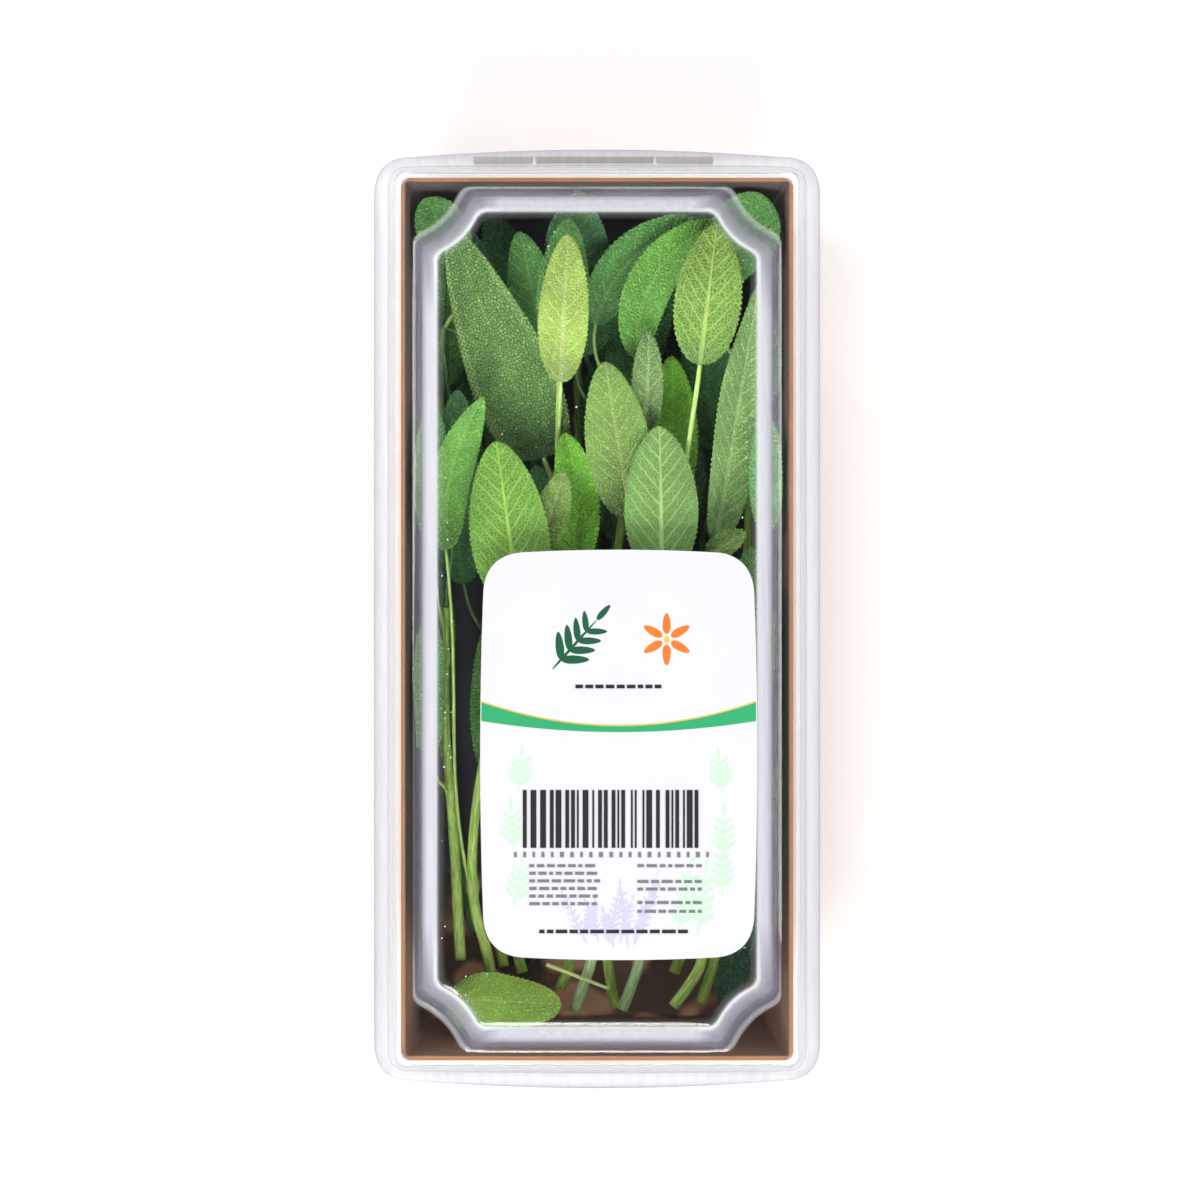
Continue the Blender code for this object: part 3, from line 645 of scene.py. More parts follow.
print("rows on the longest blade:", round(max(leaf.length for leaf in LEAVES) / ROW))

# %% [markdown]
# Colour differs from leaf to leaf: young ones are lime and the undersides are paler with a light net. The
# deep and blue looks are painted shade: leaves low in the tray or by its walls get darker, bluer colours
# than their own. Each look gives the colour of the flesh, the colour of the ridges or pebbles on it, how
# strongly the net and the veins show, how fine the grain is and how pale the margin, which above one also
# grows wider. All of it travels to the finish as attributes on the mesh, so that one material serves every
# leaf.

# %% Looks
Look = namedtuple("Look", "flesh ridge net vein grain edge")
LOOKS = {
    "lime": Look("94b349", "bdc98a", 0.15, 0.6, 1.2, 0.35),
    "net_bright": Look("4b8024", "86ac48", 0.75, 0.95, 1.25, 0.7),
    "net_grey": Look("568438", "8eaa64", 0.5, 0.95, 1.25, 0.4),
    "net_yellow": Look("528027", "99b259", 0.8, 0.75, 1.2, 0.7),
    "fresh": Look("68923c", "a4b568", 0.45, 0.6, 1.3, 0.4),
    "vivid": Look("66b026", "a4da56", 0.4, 0.3, 1.1, 0.6),
    "front": Look("9cd246", "d2ee88", 0.6, 0.3, 1.1, 0.9),
    "pale": Look("7cb058", "b6d68a", 0.35, 0.9, 1.3, 0.4),
    "pale_small": Look("638947", "97ad6d", 0.35, 0.8, 1.3, 0.4),
    "sickle": Look("5fa03c", "9cc962", 0.35, 0.35, 1.2, 0.6),
    "mid": Look("4f9244", "8fbe68", 0.45, 0.45, 1.2, 0.5),
    "pebbled": Look("40782c", "a2c872", 0.75, 0.15, 1.45, 2.0),
    # The blue and deep looks are painted shade, darker and bluer than the leaves' own colours.
    "blue": Look("447d5c", "82ad82", 0.45, 0.4, 1.2, 0.5),
    "deep": Look("326c3c", "60984f", 0.45, 0.4, 1.2, 0.5),
}
UNDER_PALER = 0.25


def look_colours(name, upper):
    """Flesh and ridge colours, with the strengths of net and veins in their last places.

    A net look is that of a leaf that lies on its back. The face that is turned down is the paler one.
    """
    look = LOOKS[name]
    flesh, ridge = paint(look.flesh)[:3], paint(look.ridge)[:3]
    if upper == name.startswith("net"):
        flesh = tuple(a + (b - a) * UNDER_PALER for a, b in zip(flesh, ridge))
    return (*flesh, look.net), (*ridge, look.vein)


print("looks:", ", ".join(LOOKS))

# %% Growing a blade's mesh


def grow_blade(bm, leaf, seed):
    """A blade in two faces and a rim: a grid is extruded, then every corner goes to its place.

    Its rows stand closer together at the base and the tip, and its columns at the margins.
    """
    share = bm.verts.layers.float_vector["share"]
    place = bm.verts.layers.float_vector["place"]
    flesh = bm.verts.layers.float_color["flesh"]
    ridge = bm.verts.layers.float_color["ridge"]
    grain = bm.verts.layers.float["grain"]
    edge = bm.verts.layers.float["edge"]
    rows = round(leaf.length / ROW)
    grid = bmesh.ops.create_grid(bm, x_segments=rows, y_segments=COLUMNS, size=1)["verts"]
    for vertex in grid:
        t = (vertex.co.x + 1) / 2
        u = 0.5 * t + 0.25 * (1 - math.cos(math.pi * t))
        vertex[share] = (u, math.sin(0.5 * math.pi * vertex.co.y), 0)
    faces = list({face for vertex in grid for face in vertex.link_faces})
    grown = bmesh.ops.extrude_face_region(bm, geom=faces)["geom"]
    for vertex in grown:
        if isinstance(vertex, bmesh.types.BMVert):
            vertex[share] = (vertex[share][0], vertex[share][1], 1)
            grid.append(vertex)
    shares = np.array([tuple(vertex[share]) for vertex in grid])
    u, v, upper = shares[:, 0], shares[:, 1], shares[:, 2] > 0.5
    points = fine_points(leaf, u, v, upper) * MM
    across = v * blade_outline(leaf, u)[1]
    colours = {side: look_colours(leaf.look, side) for side in (False, True)}
    for vertex, point, width_place, u_place, is_upper in zip(grid, points, across, u, upper):
        vertex.co = point
        vertex[place] = (width_place, u_place * leaf.length, seed)
        vertex[flesh], vertex[ridge] = colours[bool(is_upper)]
        vertex[grain] = LOOKS[leaf.look].grain
        vertex[edge] = LOOKS[leaf.look].edge


# %% [markdown]
# Sage stems are square, softly cornered, and thicken where a leaf stalk leaves them. A stalk is a circle
# of points that is extruded ring by ring along its line, with its outline squared and its thickness
# following the place along it.

# %% Sweeping a stalk
STEM_SLIMNESS = 0.86
STALK_SIDES = 12
STALK_STEP = 0.9
SQUARENESS = 0.09
KNOT_SWELL = 0.32
KNOT_REACH = 1.3


def sweep(bm, line, radii, colours, seed, knots=(), square=SQUARENESS):
    """A closed stalk along a line. Knots are the lengths along it at which it swells."""
    place = bm.verts.layers.float_vector["place"]
    flesh = bm.verts.layers.float_color["flesh"]
    ridge = bm.verts.layers.float_color["ridge"]
    steps = np.linalg.norm(np.diff(line, axis=0), axis=1)
    lengths = np.concatenate([[0], np.cumsum(steps)])
    total = lengths[-1]
    stations = np.linspace(0, total, max(4, round(total / STALK_STEP)))
    centres = np.stack([np.interp(stations, lengths, line[:, axis]) for axis in range(3)], -1)
    ways = np.gradient(centres, axis=0)
    ways /= np.linalg.norm(ways, axis=1)[:, None]
    ring = bmesh.ops.create_circle(bm, cap_ends=False, segments=STALK_SIDES, radius=1)["verts"]
    edges = list({edge for vertex in ring for edge in vertex.link_edges})
    first = list(ring)
    for number, (at, centre, way) in enumerate(zip(stations, centres, ways)):
        if number:
            grown = bmesh.ops.extrude_edge_only(bm, edges=edges)["geom"]
            edges = [item for item in grown if isinstance(item, bmesh.types.BMEdge)]
            twins = {tuple(item.co): item for item in grown if isinstance(item, bmesh.types.BMVert)}
            ring = [twins[tuple(vertex.co)] for vertex in ring]
        side = np.cross(way, (0, 0, 1))
        side /= np.linalg.norm(side)
        top = np.cross(side, way)
        share = at / total
        radius = STEM_SLIMNESS * (radii[0] + (radii[1] - radii[0]) * share)
        radius *= 1 + KNOT_SWELL * sum(math.exp(-((at - knot) / KNOT_REACH) ** 2) for knot in knots)
        for place_round, vertex in enumerate(ring):
            angle = 2 * math.pi * place_round / STALK_SIDES
            reach = radius * (1 + square * math.cos(4 * angle + math.pi))
            vertex.co = (centre + reach * (side * math.cos(angle) + top * math.sin(angle))) * MM
            vertex[place] = (angle * radius, at, seed)
            vertex[flesh] = colours[0]
            vertex[ridge] = colours[1]
    bmesh.ops.contextual_create(bm, geom=first)
    bmesh.ops.contextual_create(bm, geom=ring)


# %% [markdown]
# Every sprig becomes two pieces that stand for its solid: the leaves, and the stem with its leaf stalks.
# They stay apart because their finishes differ, and both ride on the pack.

# %% Colours and thickness of the stalks
STALK_COLOURS = {
    "stem": (paint("86ae3e"), paint("bcd86e")),
    "petiole": (paint("8db446"), paint("bcd683")),
    "thick": (paint("769b55"), paint("a9c290")),
    "twig": (paint("a9bf62"), paint("d3dc98")),
    "shaded": (paint("426b30"), paint("6a9450")),
}
STEM_KIND = {"sprig_middle": "thick", "sprig_middle_broad": "thick", "loose_stalk": "twig"}
SHADED = ("sprig_low", "sprig_corner")
LOOSE_SLIMNESS = 0.7
PETIOLE_SLIMNESS = ((8, 12), (0.62, 1.0))
print("kinds of stalk:", ", ".join(STALK_COLOURS))

# %% Starting and finishing a piece


def new_mesh():
    """A new bmesh with the attributes that the plant's finishes read."""
    bm = bmesh.new()
    for layer in ("share", "place"):
        bm.verts.layers.float_vector.new(layer)
    for layer in ("flesh", "ridge"):
        bm.verts.layers.float_color.new(layer)
    for layer in ("grain", "edge"):
        bm.verts.layers.float.new(layer)
    return bm


def finish_piece(bm, name, material, slot, *stands_for, smooth=True):
    """Turn a bmesh into a piece that rides on the pack and may stand for CAD nodes."""
    bmesh.ops.recalc_face_normals(bm, faces=bm.faces)
    mesh = bpy.data.meshes.new(name)
    bm.to_mesh(mesh)
    bm.free()
    mesh.polygons.foreach_set("use_smooth", [smooth] * len(mesh.polygons))
    mesh.materials.append(material)
    piece = bpy.data.objects.new(name, mesh)
    bpy.context.scene.collection.objects.link(piece)
    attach(piece, "root")
    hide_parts(*stands_for)
    return piece


# %% Building the sprigs
FINE_STEPS = 5
STALK_STEPS = 16
STALK_SQUARENESS = 0.03

blade_finish, blade_tree, blade_shader = new_material("sage_blade")
stalk_finish, stalk_tree, stalk_shader = new_material("sage_stalk")
sage_pieces = []

for number, (name, line) in enumerate(stem_lines.items()):
    fine_line = along(line, FINE_STEPS * (len(line) - 1))
    reach = np.linalg.norm(np.diff(fine_line, axis=0), axis=1).sum()
    loose = name.startswith("loose")
    radii = [LOOSE_SLIMNESS * radius for radius in PETIOLE_RADIUS] if loose else STEM_RADIUS
    stalks = new_mesh()
    kind = STEM_KIND.get(name, "petiole" if loose else "stem")
    if name.startswith(SHADED):
        kind = "shaded"
    knots = [] if loose else [leaf.at * reach for leaf in leaves_of[name] if leaf.at < 1]
    sweep(stalks, fine_line, radii, STALK_COLOURS[kind], number, knots)
    blades = new_mesh()
    for place, leaf in enumerate(leaves_of[name]):
        path = petiole_path(line, leaf, STALK_STEPS)
        kind = "shaded" if leaf.look in ("deep", "blue") else "petiole"
        slimness = np.interp(leaf.width, *PETIOLE_SLIMNESS)
        slim = [slimness * radius for radius in PETIOLE_RADIUS]
        sweep(stalks, path, slim, STALK_COLOURS[kind], number + place, square=STALK_SQUARENESS)
        grow_blade(blades, leaf, number * 10 + place)
    sage_pieces.append(finish_piece(stalks, name + "_stalks", stalk_finish, "sage", name))
    if leaves_of[name]:
        sage_pieces.append(finish_piece(blades, name + "_leaves", blade_finish, "sage", name))
    else:
        blades.free()
sage_faces = sum(len(piece.data.polygons) for piece in sage_pieces)
print("the sage has", len(sage_pieces), "pieces and", sage_faces, "faces")

# %% [markdown]
# The blade's finish works in millimetres across and along the leaf, which the mesh carries as an
# attribute. Cell patterns give the pebbles and the net between them. The side veins are stripes that
# lean away from the midrib, and the midrib itself is a narrow band. The same masks set colour and relief,
# so light catches what the colour shows. In this finish and the next ones, four numbers under a name such
# as SIDE_VEIN_FADE are the places where a band starts and ends, and then its values there.

# %% The vein group
SEED_STEPS = (("X", 7.3), ("Y", 3.1))

veins, veins_in, veins_out = group(
    "leaf_veins",
    (("Place", "Vector"), ("Length share", "Float"), ("Width share", "Float"), ("Upper", "Float"),
     ("Grain", "Float")),
    (("Net", "Float"), ("Vein", "Float"), ("Height", "Float")),
)
parts = split(veins, veins_in.outputs["Place"])
reach = calc(veins, "ABSOLUTE", parts["X"])
offset = node(veins, "CombineXYZ")
for part, step in SEED_STEPS:
    feed(veins, offset.inputs[part], calc(veins, "MULTIPLY", parts["Z"], step))
print("the vein group takes", len(veins_in.outputs) - 1, "values")

# %% The net and the pebbles
WARP_SCALE = 0.8
WARP_DETAIL = 1.5
WARP_SHIFT = (1.1, 1.1, 0)
NET_SCALE = 1.3
NET_WIDTH = 0.26
PEBBLE_SIDE = (0.06, 0.36)

warp = node(veins, "TexNoise")
warp.inputs["Scale"].default_value = WARP_SCALE
warp.inputs["Detail"].default_value = WARP_DETAIL
feed(veins, warp.inputs["Vector"], veins_in.outputs["Place"])
shifted = node(veins, "VectorMath", operation="MULTIPLY_ADD")
for socket, value in zip(shifted.inputs, (warp.outputs["Color"], WARP_SHIFT, veins_in.outputs["Place"])):
    feed(veins, socket, value)
seeded = node(veins, "VectorMath", operation="ADD")
feed(veins, seeded.inputs[0], shifted.outputs[0])
feed(veins, seeded.inputs[1], offset.outputs[0])
finer = node(veins, "VectorMath", operation="SCALE")
feed(veins, finer.inputs[0], seeded.outputs[0])
feed(veins, finer.inputs["Scale"], veins_in.outputs["Grain"])
cells = node(veins, "TexVoronoi", voronoi_dimensions="2D", feature="DISTANCE_TO_EDGE")
cells.inputs["Scale"].default_value = NET_SCALE
feed(veins, cells.inputs["Vector"], finer.outputs[0])
net_lines = band(veins, cells.outputs["Distance"], 0.0, NET_WIDTH, 1, 0)
pebbles = band(veins, cells.outputs["Distance"], *PEBBLE_SIDE)
print("the net's cells are about", round(1 / NET_SCALE, 2), "mm across")

# %% The side veins
WANDER = 0.3
SIDE_VEIN_WIDTH = (0.04, 0.14)
SIDE_VEIN_FADE = (0.55, 1.0, 1, 0.15)
SIDE_VEIN_SHARE = 0.85

lean = calc(veins, "MULTIPLY_ADD", reach, -SIDE_VEIN_LEAN, parts["Y"])
curl = calc(veins, "MULTIPLY_ADD", calc(veins, "MULTIPLY", reach, reach), -SIDE_VEIN_CURL, lean)
right = calc(veins, "MULTIPLY", calc(veins, "GREATER_THAN", parts["X"], 0.0), 0.5)
wander = calc(veins, "MULTIPLY", calc(veins, "SUBTRACT", warp.outputs["Fac"], 0.5), WANDER)
phase = calc(veins, "ADD", calc(veins, "ADD", calc(veins, "DIVIDE", curl, SIDE_VEIN_PITCH), right), wander)
saw = calc(veins, "FRACT", calc(veins, "ADD", phase, 0.5))
off_vein = calc(veins, "ABSOLUTE", calc(veins, "SUBTRACT", saw, 0.5))
side_veins = band(veins, off_vein, *SIDE_VEIN_WIDTH, 1, 0)
fade = band(veins, veins_in.outputs["Width share"], *SIDE_VEIN_FADE)
side_veins = calc(veins, "MULTIPLY", side_veins, fade)
print("side veins are", SIDE_VEIN_PITCH, "mm apart")

# %% The midrib and the relief
RIB_HALF = (0.42, 0.1)
RIB_SIDE = (-0.06, 0.2)
VEIN_GROOVE = 0.5
NET_RIDGE = 0.5
FUZZ_SCALE = 5.5
FUZZ_HEIGHT = 0.25

rib_half = band(veins, veins_in.outputs["Length share"], 0.0, 1.0, *RIB_HALF)
rib = band(veins, calc(veins, "SUBTRACT", reach, rib_half), *RIB_SIDE, 1, 0)
vein = calc(veins, "MAXIMUM", calc(veins, "MULTIPLY", side_veins, SIDE_VEIN_SHARE), rib)
fuzz = noise(veins, veins_in.outputs["Place"], FUZZ_SCALE, detail=3, roughness=0.6)
upper_height = calc(veins, "SUBTRACT", pebbles, calc(veins, "MULTIPLY", vein, VEIN_GROOVE))
under_height = calc(veins, "MAXIMUM", calc(veins, "MULTIPLY", net_lines, NET_RIDGE), vein)


def either(upper_value, under_value):
    """The upper face's value on the upper face and the under face's on the other."""
    mixed = node(veins, "Mix", data_type="FLOAT")
    feed(veins, mixed.inputs["Factor"], veins_in.outputs["Upper"])
    feed(veins, mixed.inputs["A"], under_value)
    feed(veins, mixed.inputs["B"], upper_value)
    return mixed.outputs["Result"]


height = calc(veins, "MULTIPLY_ADD", fuzz, FUZZ_HEIGHT, either(upper_height, under_height))
height = calc(veins, "MULTIPLY", height, veins_in.outputs["Grain"])
for label, value in zip(("Net", "Vein", "Height"), (either(pebbles, net_lines), vein, height)):
    feed(veins, veins_out.inputs[label], value)
print("the vein group has", len(veins.nodes), "nodes")

# %% Flesh, net and veins
flesh = read(blade_tree, "flesh")
ridge = read(blade_tree, "ridge")
place = read(blade_tree, "place").outputs["Vector"]
share = split(blade_tree, read(blade_tree, "share").outputs["Vector"])
width_share = calc(blade_tree, "ABSOLUTE", share["Y"])
grain = read(blade_tree, "grain").outputs["Fac"]
pattern = node(blade_tree, "Group", node_tree=veins)
for socket, value in zip(pattern.inputs, (place, share["X"], width_share, share["Z"], grain)):
    feed(blade_tree, socket, value)
net_share = calc(blade_tree, "MULTIPLY", pattern.outputs["Net"], flesh.outputs["Alpha"])
vein_share = calc(blade_tree, "MULTIPLY", pattern.outputs["Vein"], ridge.outputs["Alpha"])
colour = blend(blade_tree, net_share, flesh.outputs["Color"], ridge.outputs["Color"])
colour = blend(blade_tree, vein_share, colour, ridge.outputs["Color"])
print("the vein group's results:", ", ".join(socket.name for socket in pattern.outputs))

# %% The beaded margin
# The pale, beaded margin is partly the paler underside where the margin curls and partly painted sheen of the
# hairs along the edge.
BEADS = 2 * math.pi / TOOTH_PITCH
BEAD_SIDE = (-0.15, 0.35, 0.1, 1)
MARGIN_START = 0.99
MARGIN_SPREAD = -0.12
MARGIN_BAND = 0.08
MARGIN_BY_SIDE = (-0.5, 0.5, 1, 0.5)

beads = 1.0
for part in ("X", "Y"):
    run = calc(blade_tree, "MULTIPLY", split(blade_tree, place)[part], BEADS)
    beads = calc(blade_tree, "MULTIPLY", calc(blade_tree, "COSINE", run), beads)
edge = read(blade_tree, "edge").outputs["Fac"]
margin_start = calc(blade_tree, "MULTIPLY_ADD", edge, MARGIN_SPREAD, MARGIN_START)
margin = band(blade_tree, width_share, margin_start, calc(blade_tree, "ADD", margin_start, MARGIN_BAND))
margin = calc(blade_tree, "MULTIPLY", margin, band(blade_tree, beads, *BEAD_SIDE))
margin = calc(blade_tree, "MULTIPLY", margin, band(blade_tree, share["Y"], *MARGIN_BY_SIDE))
margin = calc(blade_tree, "MULTIPLY", margin, calc(blade_tree, "MINIMUM", edge, 1.0))
colour = blend(blade_tree, margin, colour, ridge.outputs["Color"])
print("the margin is the outer", round(1 - MARGIN_START - MARGIN_SPREAD, 2), "of a blade with an edge of 1")

# %% The blade's finish
BLADE_RELIEF = 0.22 * MM
# The base of each blade is darkened towards this colour: painted shade, where it lies low among the others.
BASE_SHADE = (0.0, 0.3, 0.35, 0.0)
BASE_SHADE_COLOUR = "1d4a2c"
BLADE_ROUGHNESS = (0.3, 0.7, 0.5, 0.68)

shaded_base = band(blade_tree, share["X"], *BASE_SHADE)
colour = blend(blade_tree, shaded_base, colour, paint(BASE_SHADE_COLOUR))
colour, grain = mottled_colour(blade_tree, place, colour, cloud_scale=0.16, grain_scale=2.2, amount=0.75)
feed(blade_tree, blade_shader.inputs["Base Color"], colour)
feed(blade_tree, blade_shader.inputs["Roughness"], band(blade_tree, grain, *BLADE_ROUGHNESS))
relief = bump(blade_tree, pattern.outputs["Height"], BLADE_RELIEF)
feed(blade_tree, blade_shader.inputs["Normal"], relief)
blade_shader.inputs["Sheen Weight"].default_value = 0.18
blade_shader.inputs["Sheen Roughness"].default_value = 0.4
blade_shader.inputs["Specular IOR Level"].default_value = 0.4
print("the blade's finish has", len(blade_tree.nodes), "nodes")

# %% [markdown]
# Stalks carry the same attributes. Fine ridges run along them, and short pale hairs catch the light,
# which a little sheen stands for.

# %% The stalk's finish
STALK_RELIEF = 0.1 * MM
STREAK_STRETCH = (2.5, 0.25, 1)
STREAK_SCALE = 1.4
STREAK_SIDE = (0.35, 0.68)

stalk_place = read(stalk_tree, "place").outputs["Vector"]
stretch = node(stalk_tree, "VectorMath", operation="MULTIPLY")
feed(stalk_tree, stretch.inputs[0], stalk_place)
feed(stalk_tree, stretch.inputs[1], STREAK_STRETCH)
streaks = noise(stalk_tree, stretch.outputs[0], STREAK_SCALE, detail=3)
streak_share = band(stalk_tree, streaks, *STREAK_SIDE)
stalk_flesh, stalk_ridge = (read(stalk_tree, name).outputs["Color"] for name in ("flesh", "ridge"))
colour = blend(stalk_tree, streak_share, stalk_flesh, stalk_ridge)
colour, _ = mottled_colour(stalk_tree, stalk_place, colour, cloud_scale=0.12, grain_scale=3.0, amount=0.5)
feed(stalk_tree, stalk_shader.inputs["Base Color"], colour)
feed(stalk_tree, stalk_shader.inputs["Normal"], bump(stalk_tree, streaks, STALK_RELIEF))
stalk_shader.inputs["Roughness"].default_value = 0.5
stalk_shader.inputs["Sheen Weight"].default_value = 0.15
print("the stalk's finish has", len(stalk_tree.nodes), "nodes")

# %% [markdown]
# The tray is folded from kraft paperboard: brown, matte, with fibres that lie every way and a cut rim
# with a warmer tone than the faces. Its solid already has the right shape, so it keeps it and gets a finish
# that reads places in the object: the rim's tone goes by height, painted shade darkens the inside under the
# leaves, and painted light makes pale patches of floor between the cut stems at the near end.

# %% Board and rim
BOARD_COLOUR = "a9785a"
FIBRE_COLOUR = "d3a878"
RIM_COLOUR = "986945"
FIBRE_STRETCH = (1, 3.5, 2)
FIBRE_SCALE = 900
FIBRE_SHARE = (0.5, 0.75, 0, 0.35)
RIM_BAND = (29.4 * MM, 29.8 * MM)

kraft, kraft_tree, kraft_shader = new_material("kraft_board")
here = node(kraft_tree, "TexCoord").outputs["Object"]
spot = split(kraft_tree, here)
fibre_stretch = node(kraft_tree, "VectorMath", operation="MULTIPLY")
feed(kraft_tree, fibre_stretch.inputs[0], here)
feed(kraft_tree, fibre_stretch.inputs[1], FIBRE_STRETCH)
fibres = noise(kraft_tree, fibre_stretch.outputs[0], FIBRE_SCALE, detail=4, roughness=0.65)
board = paint(BOARD_COLOUR)
colour, _ = mottled_colour(kraft_tree, here, board, cloud_scale=90, grain_scale=1500, amount=0.5)
colour = blend(kraft_tree, band(kraft_tree, fibres, *FIBRE_SHARE), colour, paint(FIBRE_COLOUR))
colour = blend(kraft_tree, band(kraft_tree, spot["Z"], *RIM_BAND), colour, paint(RIM_COLOUR))
print("board and rim:", len(kraft_tree.nodes), "nodes")

# %% Which places lie inside the tray
# This border lies between the board's inner face and its middle, so the inner part of the rim's top also
# takes the painted shade.
WALL_AT_FLOOR = (30.35, 72.85)
WALL_SLOPE = 0.1
UNDER_FLOOR = 0.4 * MM

within = 1.0
for part, wall in zip(("X", "Y"), WALL_AT_FLOOR):
    limit = calc(kraft_tree, "MULTIPLY_ADD", spot["Z"], WALL_SLOPE, wall * MM)
    clear_of_wall = calc(kraft_tree, "LESS_THAN", calc(kraft_tree, "ABSOLUTE", spot[part]), limit)
    within = calc(kraft_tree, "MULTIPLY", clear_of_wall, within)
within = calc(kraft_tree, "MULTIPLY", within, calc(kraft_tree, "GREATER_THAN", spot["Z"], UNDER_FLOOR))
print("the inside is", 2 * WALL_AT_FLOOR[0], "by", 2 * WALL_AT_FLOOR[1], "mm at the floor")

# %% Painted shade and light inside the tray
# The shade colour is painted shade, under the leaves and low in the tray; the patch colour is painted light
# on the floor.
SHADE_COLOUR = "2a3a44"
LIT_PATCH_COLOUR = "dcab88"
PATCH_SCALE = 95
PATCH_SIDE = (0.5, 0.6)
PATCH_HEIGHT = (1 * MM, 4 * MM, 1, 0)
PATCH_END = (-50 * MM, -46 * MM, 1, 0)
SHADE_BY_PLACE = (-58 * MM, -46 * MM, 0.6, 0.92)
SHADE_BY_HEIGHT = (10 * MM, 29.5 * MM, 1.0, 0.88)

patches = band(kraft_tree, noise(kraft_tree, here, PATCH_SCALE, detail=1), *PATCH_SIDE)
lit = calc(kraft_tree, "MULTIPLY", patches, band(kraft_tree, spot["Z"], *PATCH_HEIGHT))
lit = calc(kraft_tree, "MULTIPLY", lit, band(kraft_tree, spot["Y"], *PATCH_END))
lit = calc(kraft_tree, "MULTIPLY", lit, within)
under_leaves = band(kraft_tree, spot["Y"], *SHADE_BY_PLACE)
depth = band(kraft_tree, spot["Z"], *SHADE_BY_HEIGHT)
shade = calc(kraft_tree, "MULTIPLY", calc(kraft_tree, "MULTIPLY", under_leaves, depth), within)
colour = blend(kraft_tree, shade, colour, paint(SHADE_COLOUR))
colour = blend(kraft_tree, lit, colour, paint(LIT_PATCH_COLOUR))
print("the kraft finish has", len(kraft_tree.nodes), "nodes")

# %% The tray
KRAFT_RELIEF = 0.05 * MM

feed(kraft_tree, kraft_shader.inputs["Base Color"], colour)
feed(kraft_tree, kraft_shader.inputs["Normal"], bump(kraft_tree, fibres, KRAFT_RELIEF))
kraft_shader.inputs["Roughness"].default_value = 0.8
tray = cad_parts["tray"]
for tray_slot in tray.material_slots:
    tray_slot.link = "OBJECT"
    tray_slot.material = kraft
print("the tray has", len(tray.material_slots), "material slot")

# %% [markdown]
# The lid is formed from one clear sheet drawn over a mould, so every edge is rounded. Its outline is a
# ring with shaped corners: hollow on the raised panel and round on the rim. Each level is such a ring,
# the fillets are levels between them, and the sheet is the rings joined by extruding one into the next.

# %% The lid's levels
Ring = namedtuple("Ring", "half_x half_y leg sag bulge z")
ROUND = -0.29
LEVELS = (
    Ring(20.0, 62.0, 6.0, 1.0, 0.0, 36.5),
    Ring(26.3, 68.7, 6.7, 1.1, 0.0, 36.5),
    Ring(27.9, 70.3, 7.5, 1.2, 0.0, 36.1),
    Ring(31.6, 74.6, 9.2, 1.6, 0.0, 30.9),
    Ring(34.95, 77.45, 1.6, 1.6 * ROUND, 0.0, 30.9),
    Ring(36.3, 78.8, 3.2, 3.2 * ROUND, 0.2, 26.0),
    Ring(39.0, 80.8, 5.5, 5.5 * ROUND, 1.3, 25.4),
)
FILLETS = (0, 0.4, 0.7, 0.9, 0.6, 0.9, 0)
print("the lid rises", round(LEVELS[0].z - LEVELS[-1].z, 2), "mm above its flange's edge")

# %% The points of a ring
CORNER_STEPS = 12
CORNER_EASE = 1.1
EASINGS = 2
SIDE_STEPS = 12


def ring_points(ring, bow=0.0):
    """Points round a ring, corner by corner, as x and y in millimetres."""
    quarter = [(ring.half_x, ring.half_y - ring.leg - CORNER_EASE)]
    for t in np.linspace(0, 1, CORNER_STEPS + 1):
        hollow = ring.sag * 4 * t * (1 - t) / math.sqrt(2)
        quarter.append((
            ring.half_x - ring.leg * t - hollow,
            ring.half_y - ring.leg * (1 - t) - hollow,
        ))
    quarter.append((ring.half_x - ring.leg - CORNER_EASE, ring.half_y))
    for _ in range(EASINGS):
        threes = zip(quarter, quarter[1:], quarter[2:])
        eased = [tuple((a + 2 * b + c) / 4 for a, b, c in zip(*three)) for three in threes]
        quarter = [quarter[0], *eased, quarter[-1]]
    corners = [
        quarter,
        [(-x, y) for x, y in reversed(quarter)],
        [(-x, -y) for x, y in quarter],
        [(x, -y) for x, y in reversed(quarter)],
    ]
    points = []
    for number, corner in enumerate(corners):
        points.extend(corner)
        (x0, y0), (x1, y1) = corner[-1], corners[(number + 1) % 4][0]
        for step in range(1, SIDE_STEPS):
            t = step / SIDE_STEPS
            swell = 4 * t * (1 - t)
            along_end = number % 2 == 0
            out_y = ring.bulge * swell * (1 if y0 > 0 else -1) if along_end else 0
            out_x = bow * swell * (1 if x0 > 0 else -1) if not along_end else 0
            points.append((x0 + (x1 - x0) * t + out_x, y0 + (y1 - y0) * t + out_y))
    return points


print("points round a ring:", len(ring_points(LEVELS[0])))

# %% Rounding the levels
FILLET_STEPS = 5


def rounded_levels(levels, fillets):
    """The levels with a curve in place of each inner one, as long as its fillet on both sides."""
    rings = [np.array(level) for level in levels]
    smooth = [rings[0]]
    for before, here_ring, after, fillet in zip(rings, rings[1:], rings[2:], fillets[1:]):
        ends = []
        for other in (before, after):
            gap = math.hypot(other[0] - here_ring[0], other[5] - here_ring[5])
            ends.append(here_ring + (other - here_ring) * min(0.5, fillet / gap))
        for t in np.linspace(0, 1, FILLET_STEPS):
            smooth.append(ends[0] * (1 - t) ** 2 + 2 * here_ring * t * (1 - t) + ends[1] * t * t)
    smooth.append(rings[-1])
    return [Ring(*ring) for ring in smooth]


lid_rings = rounded_levels(LEVELS, FILLETS)
print("the lid's", len(LEVELS), "levels become", len(lid_rings), "rings")

# %% Joining rings into a skin


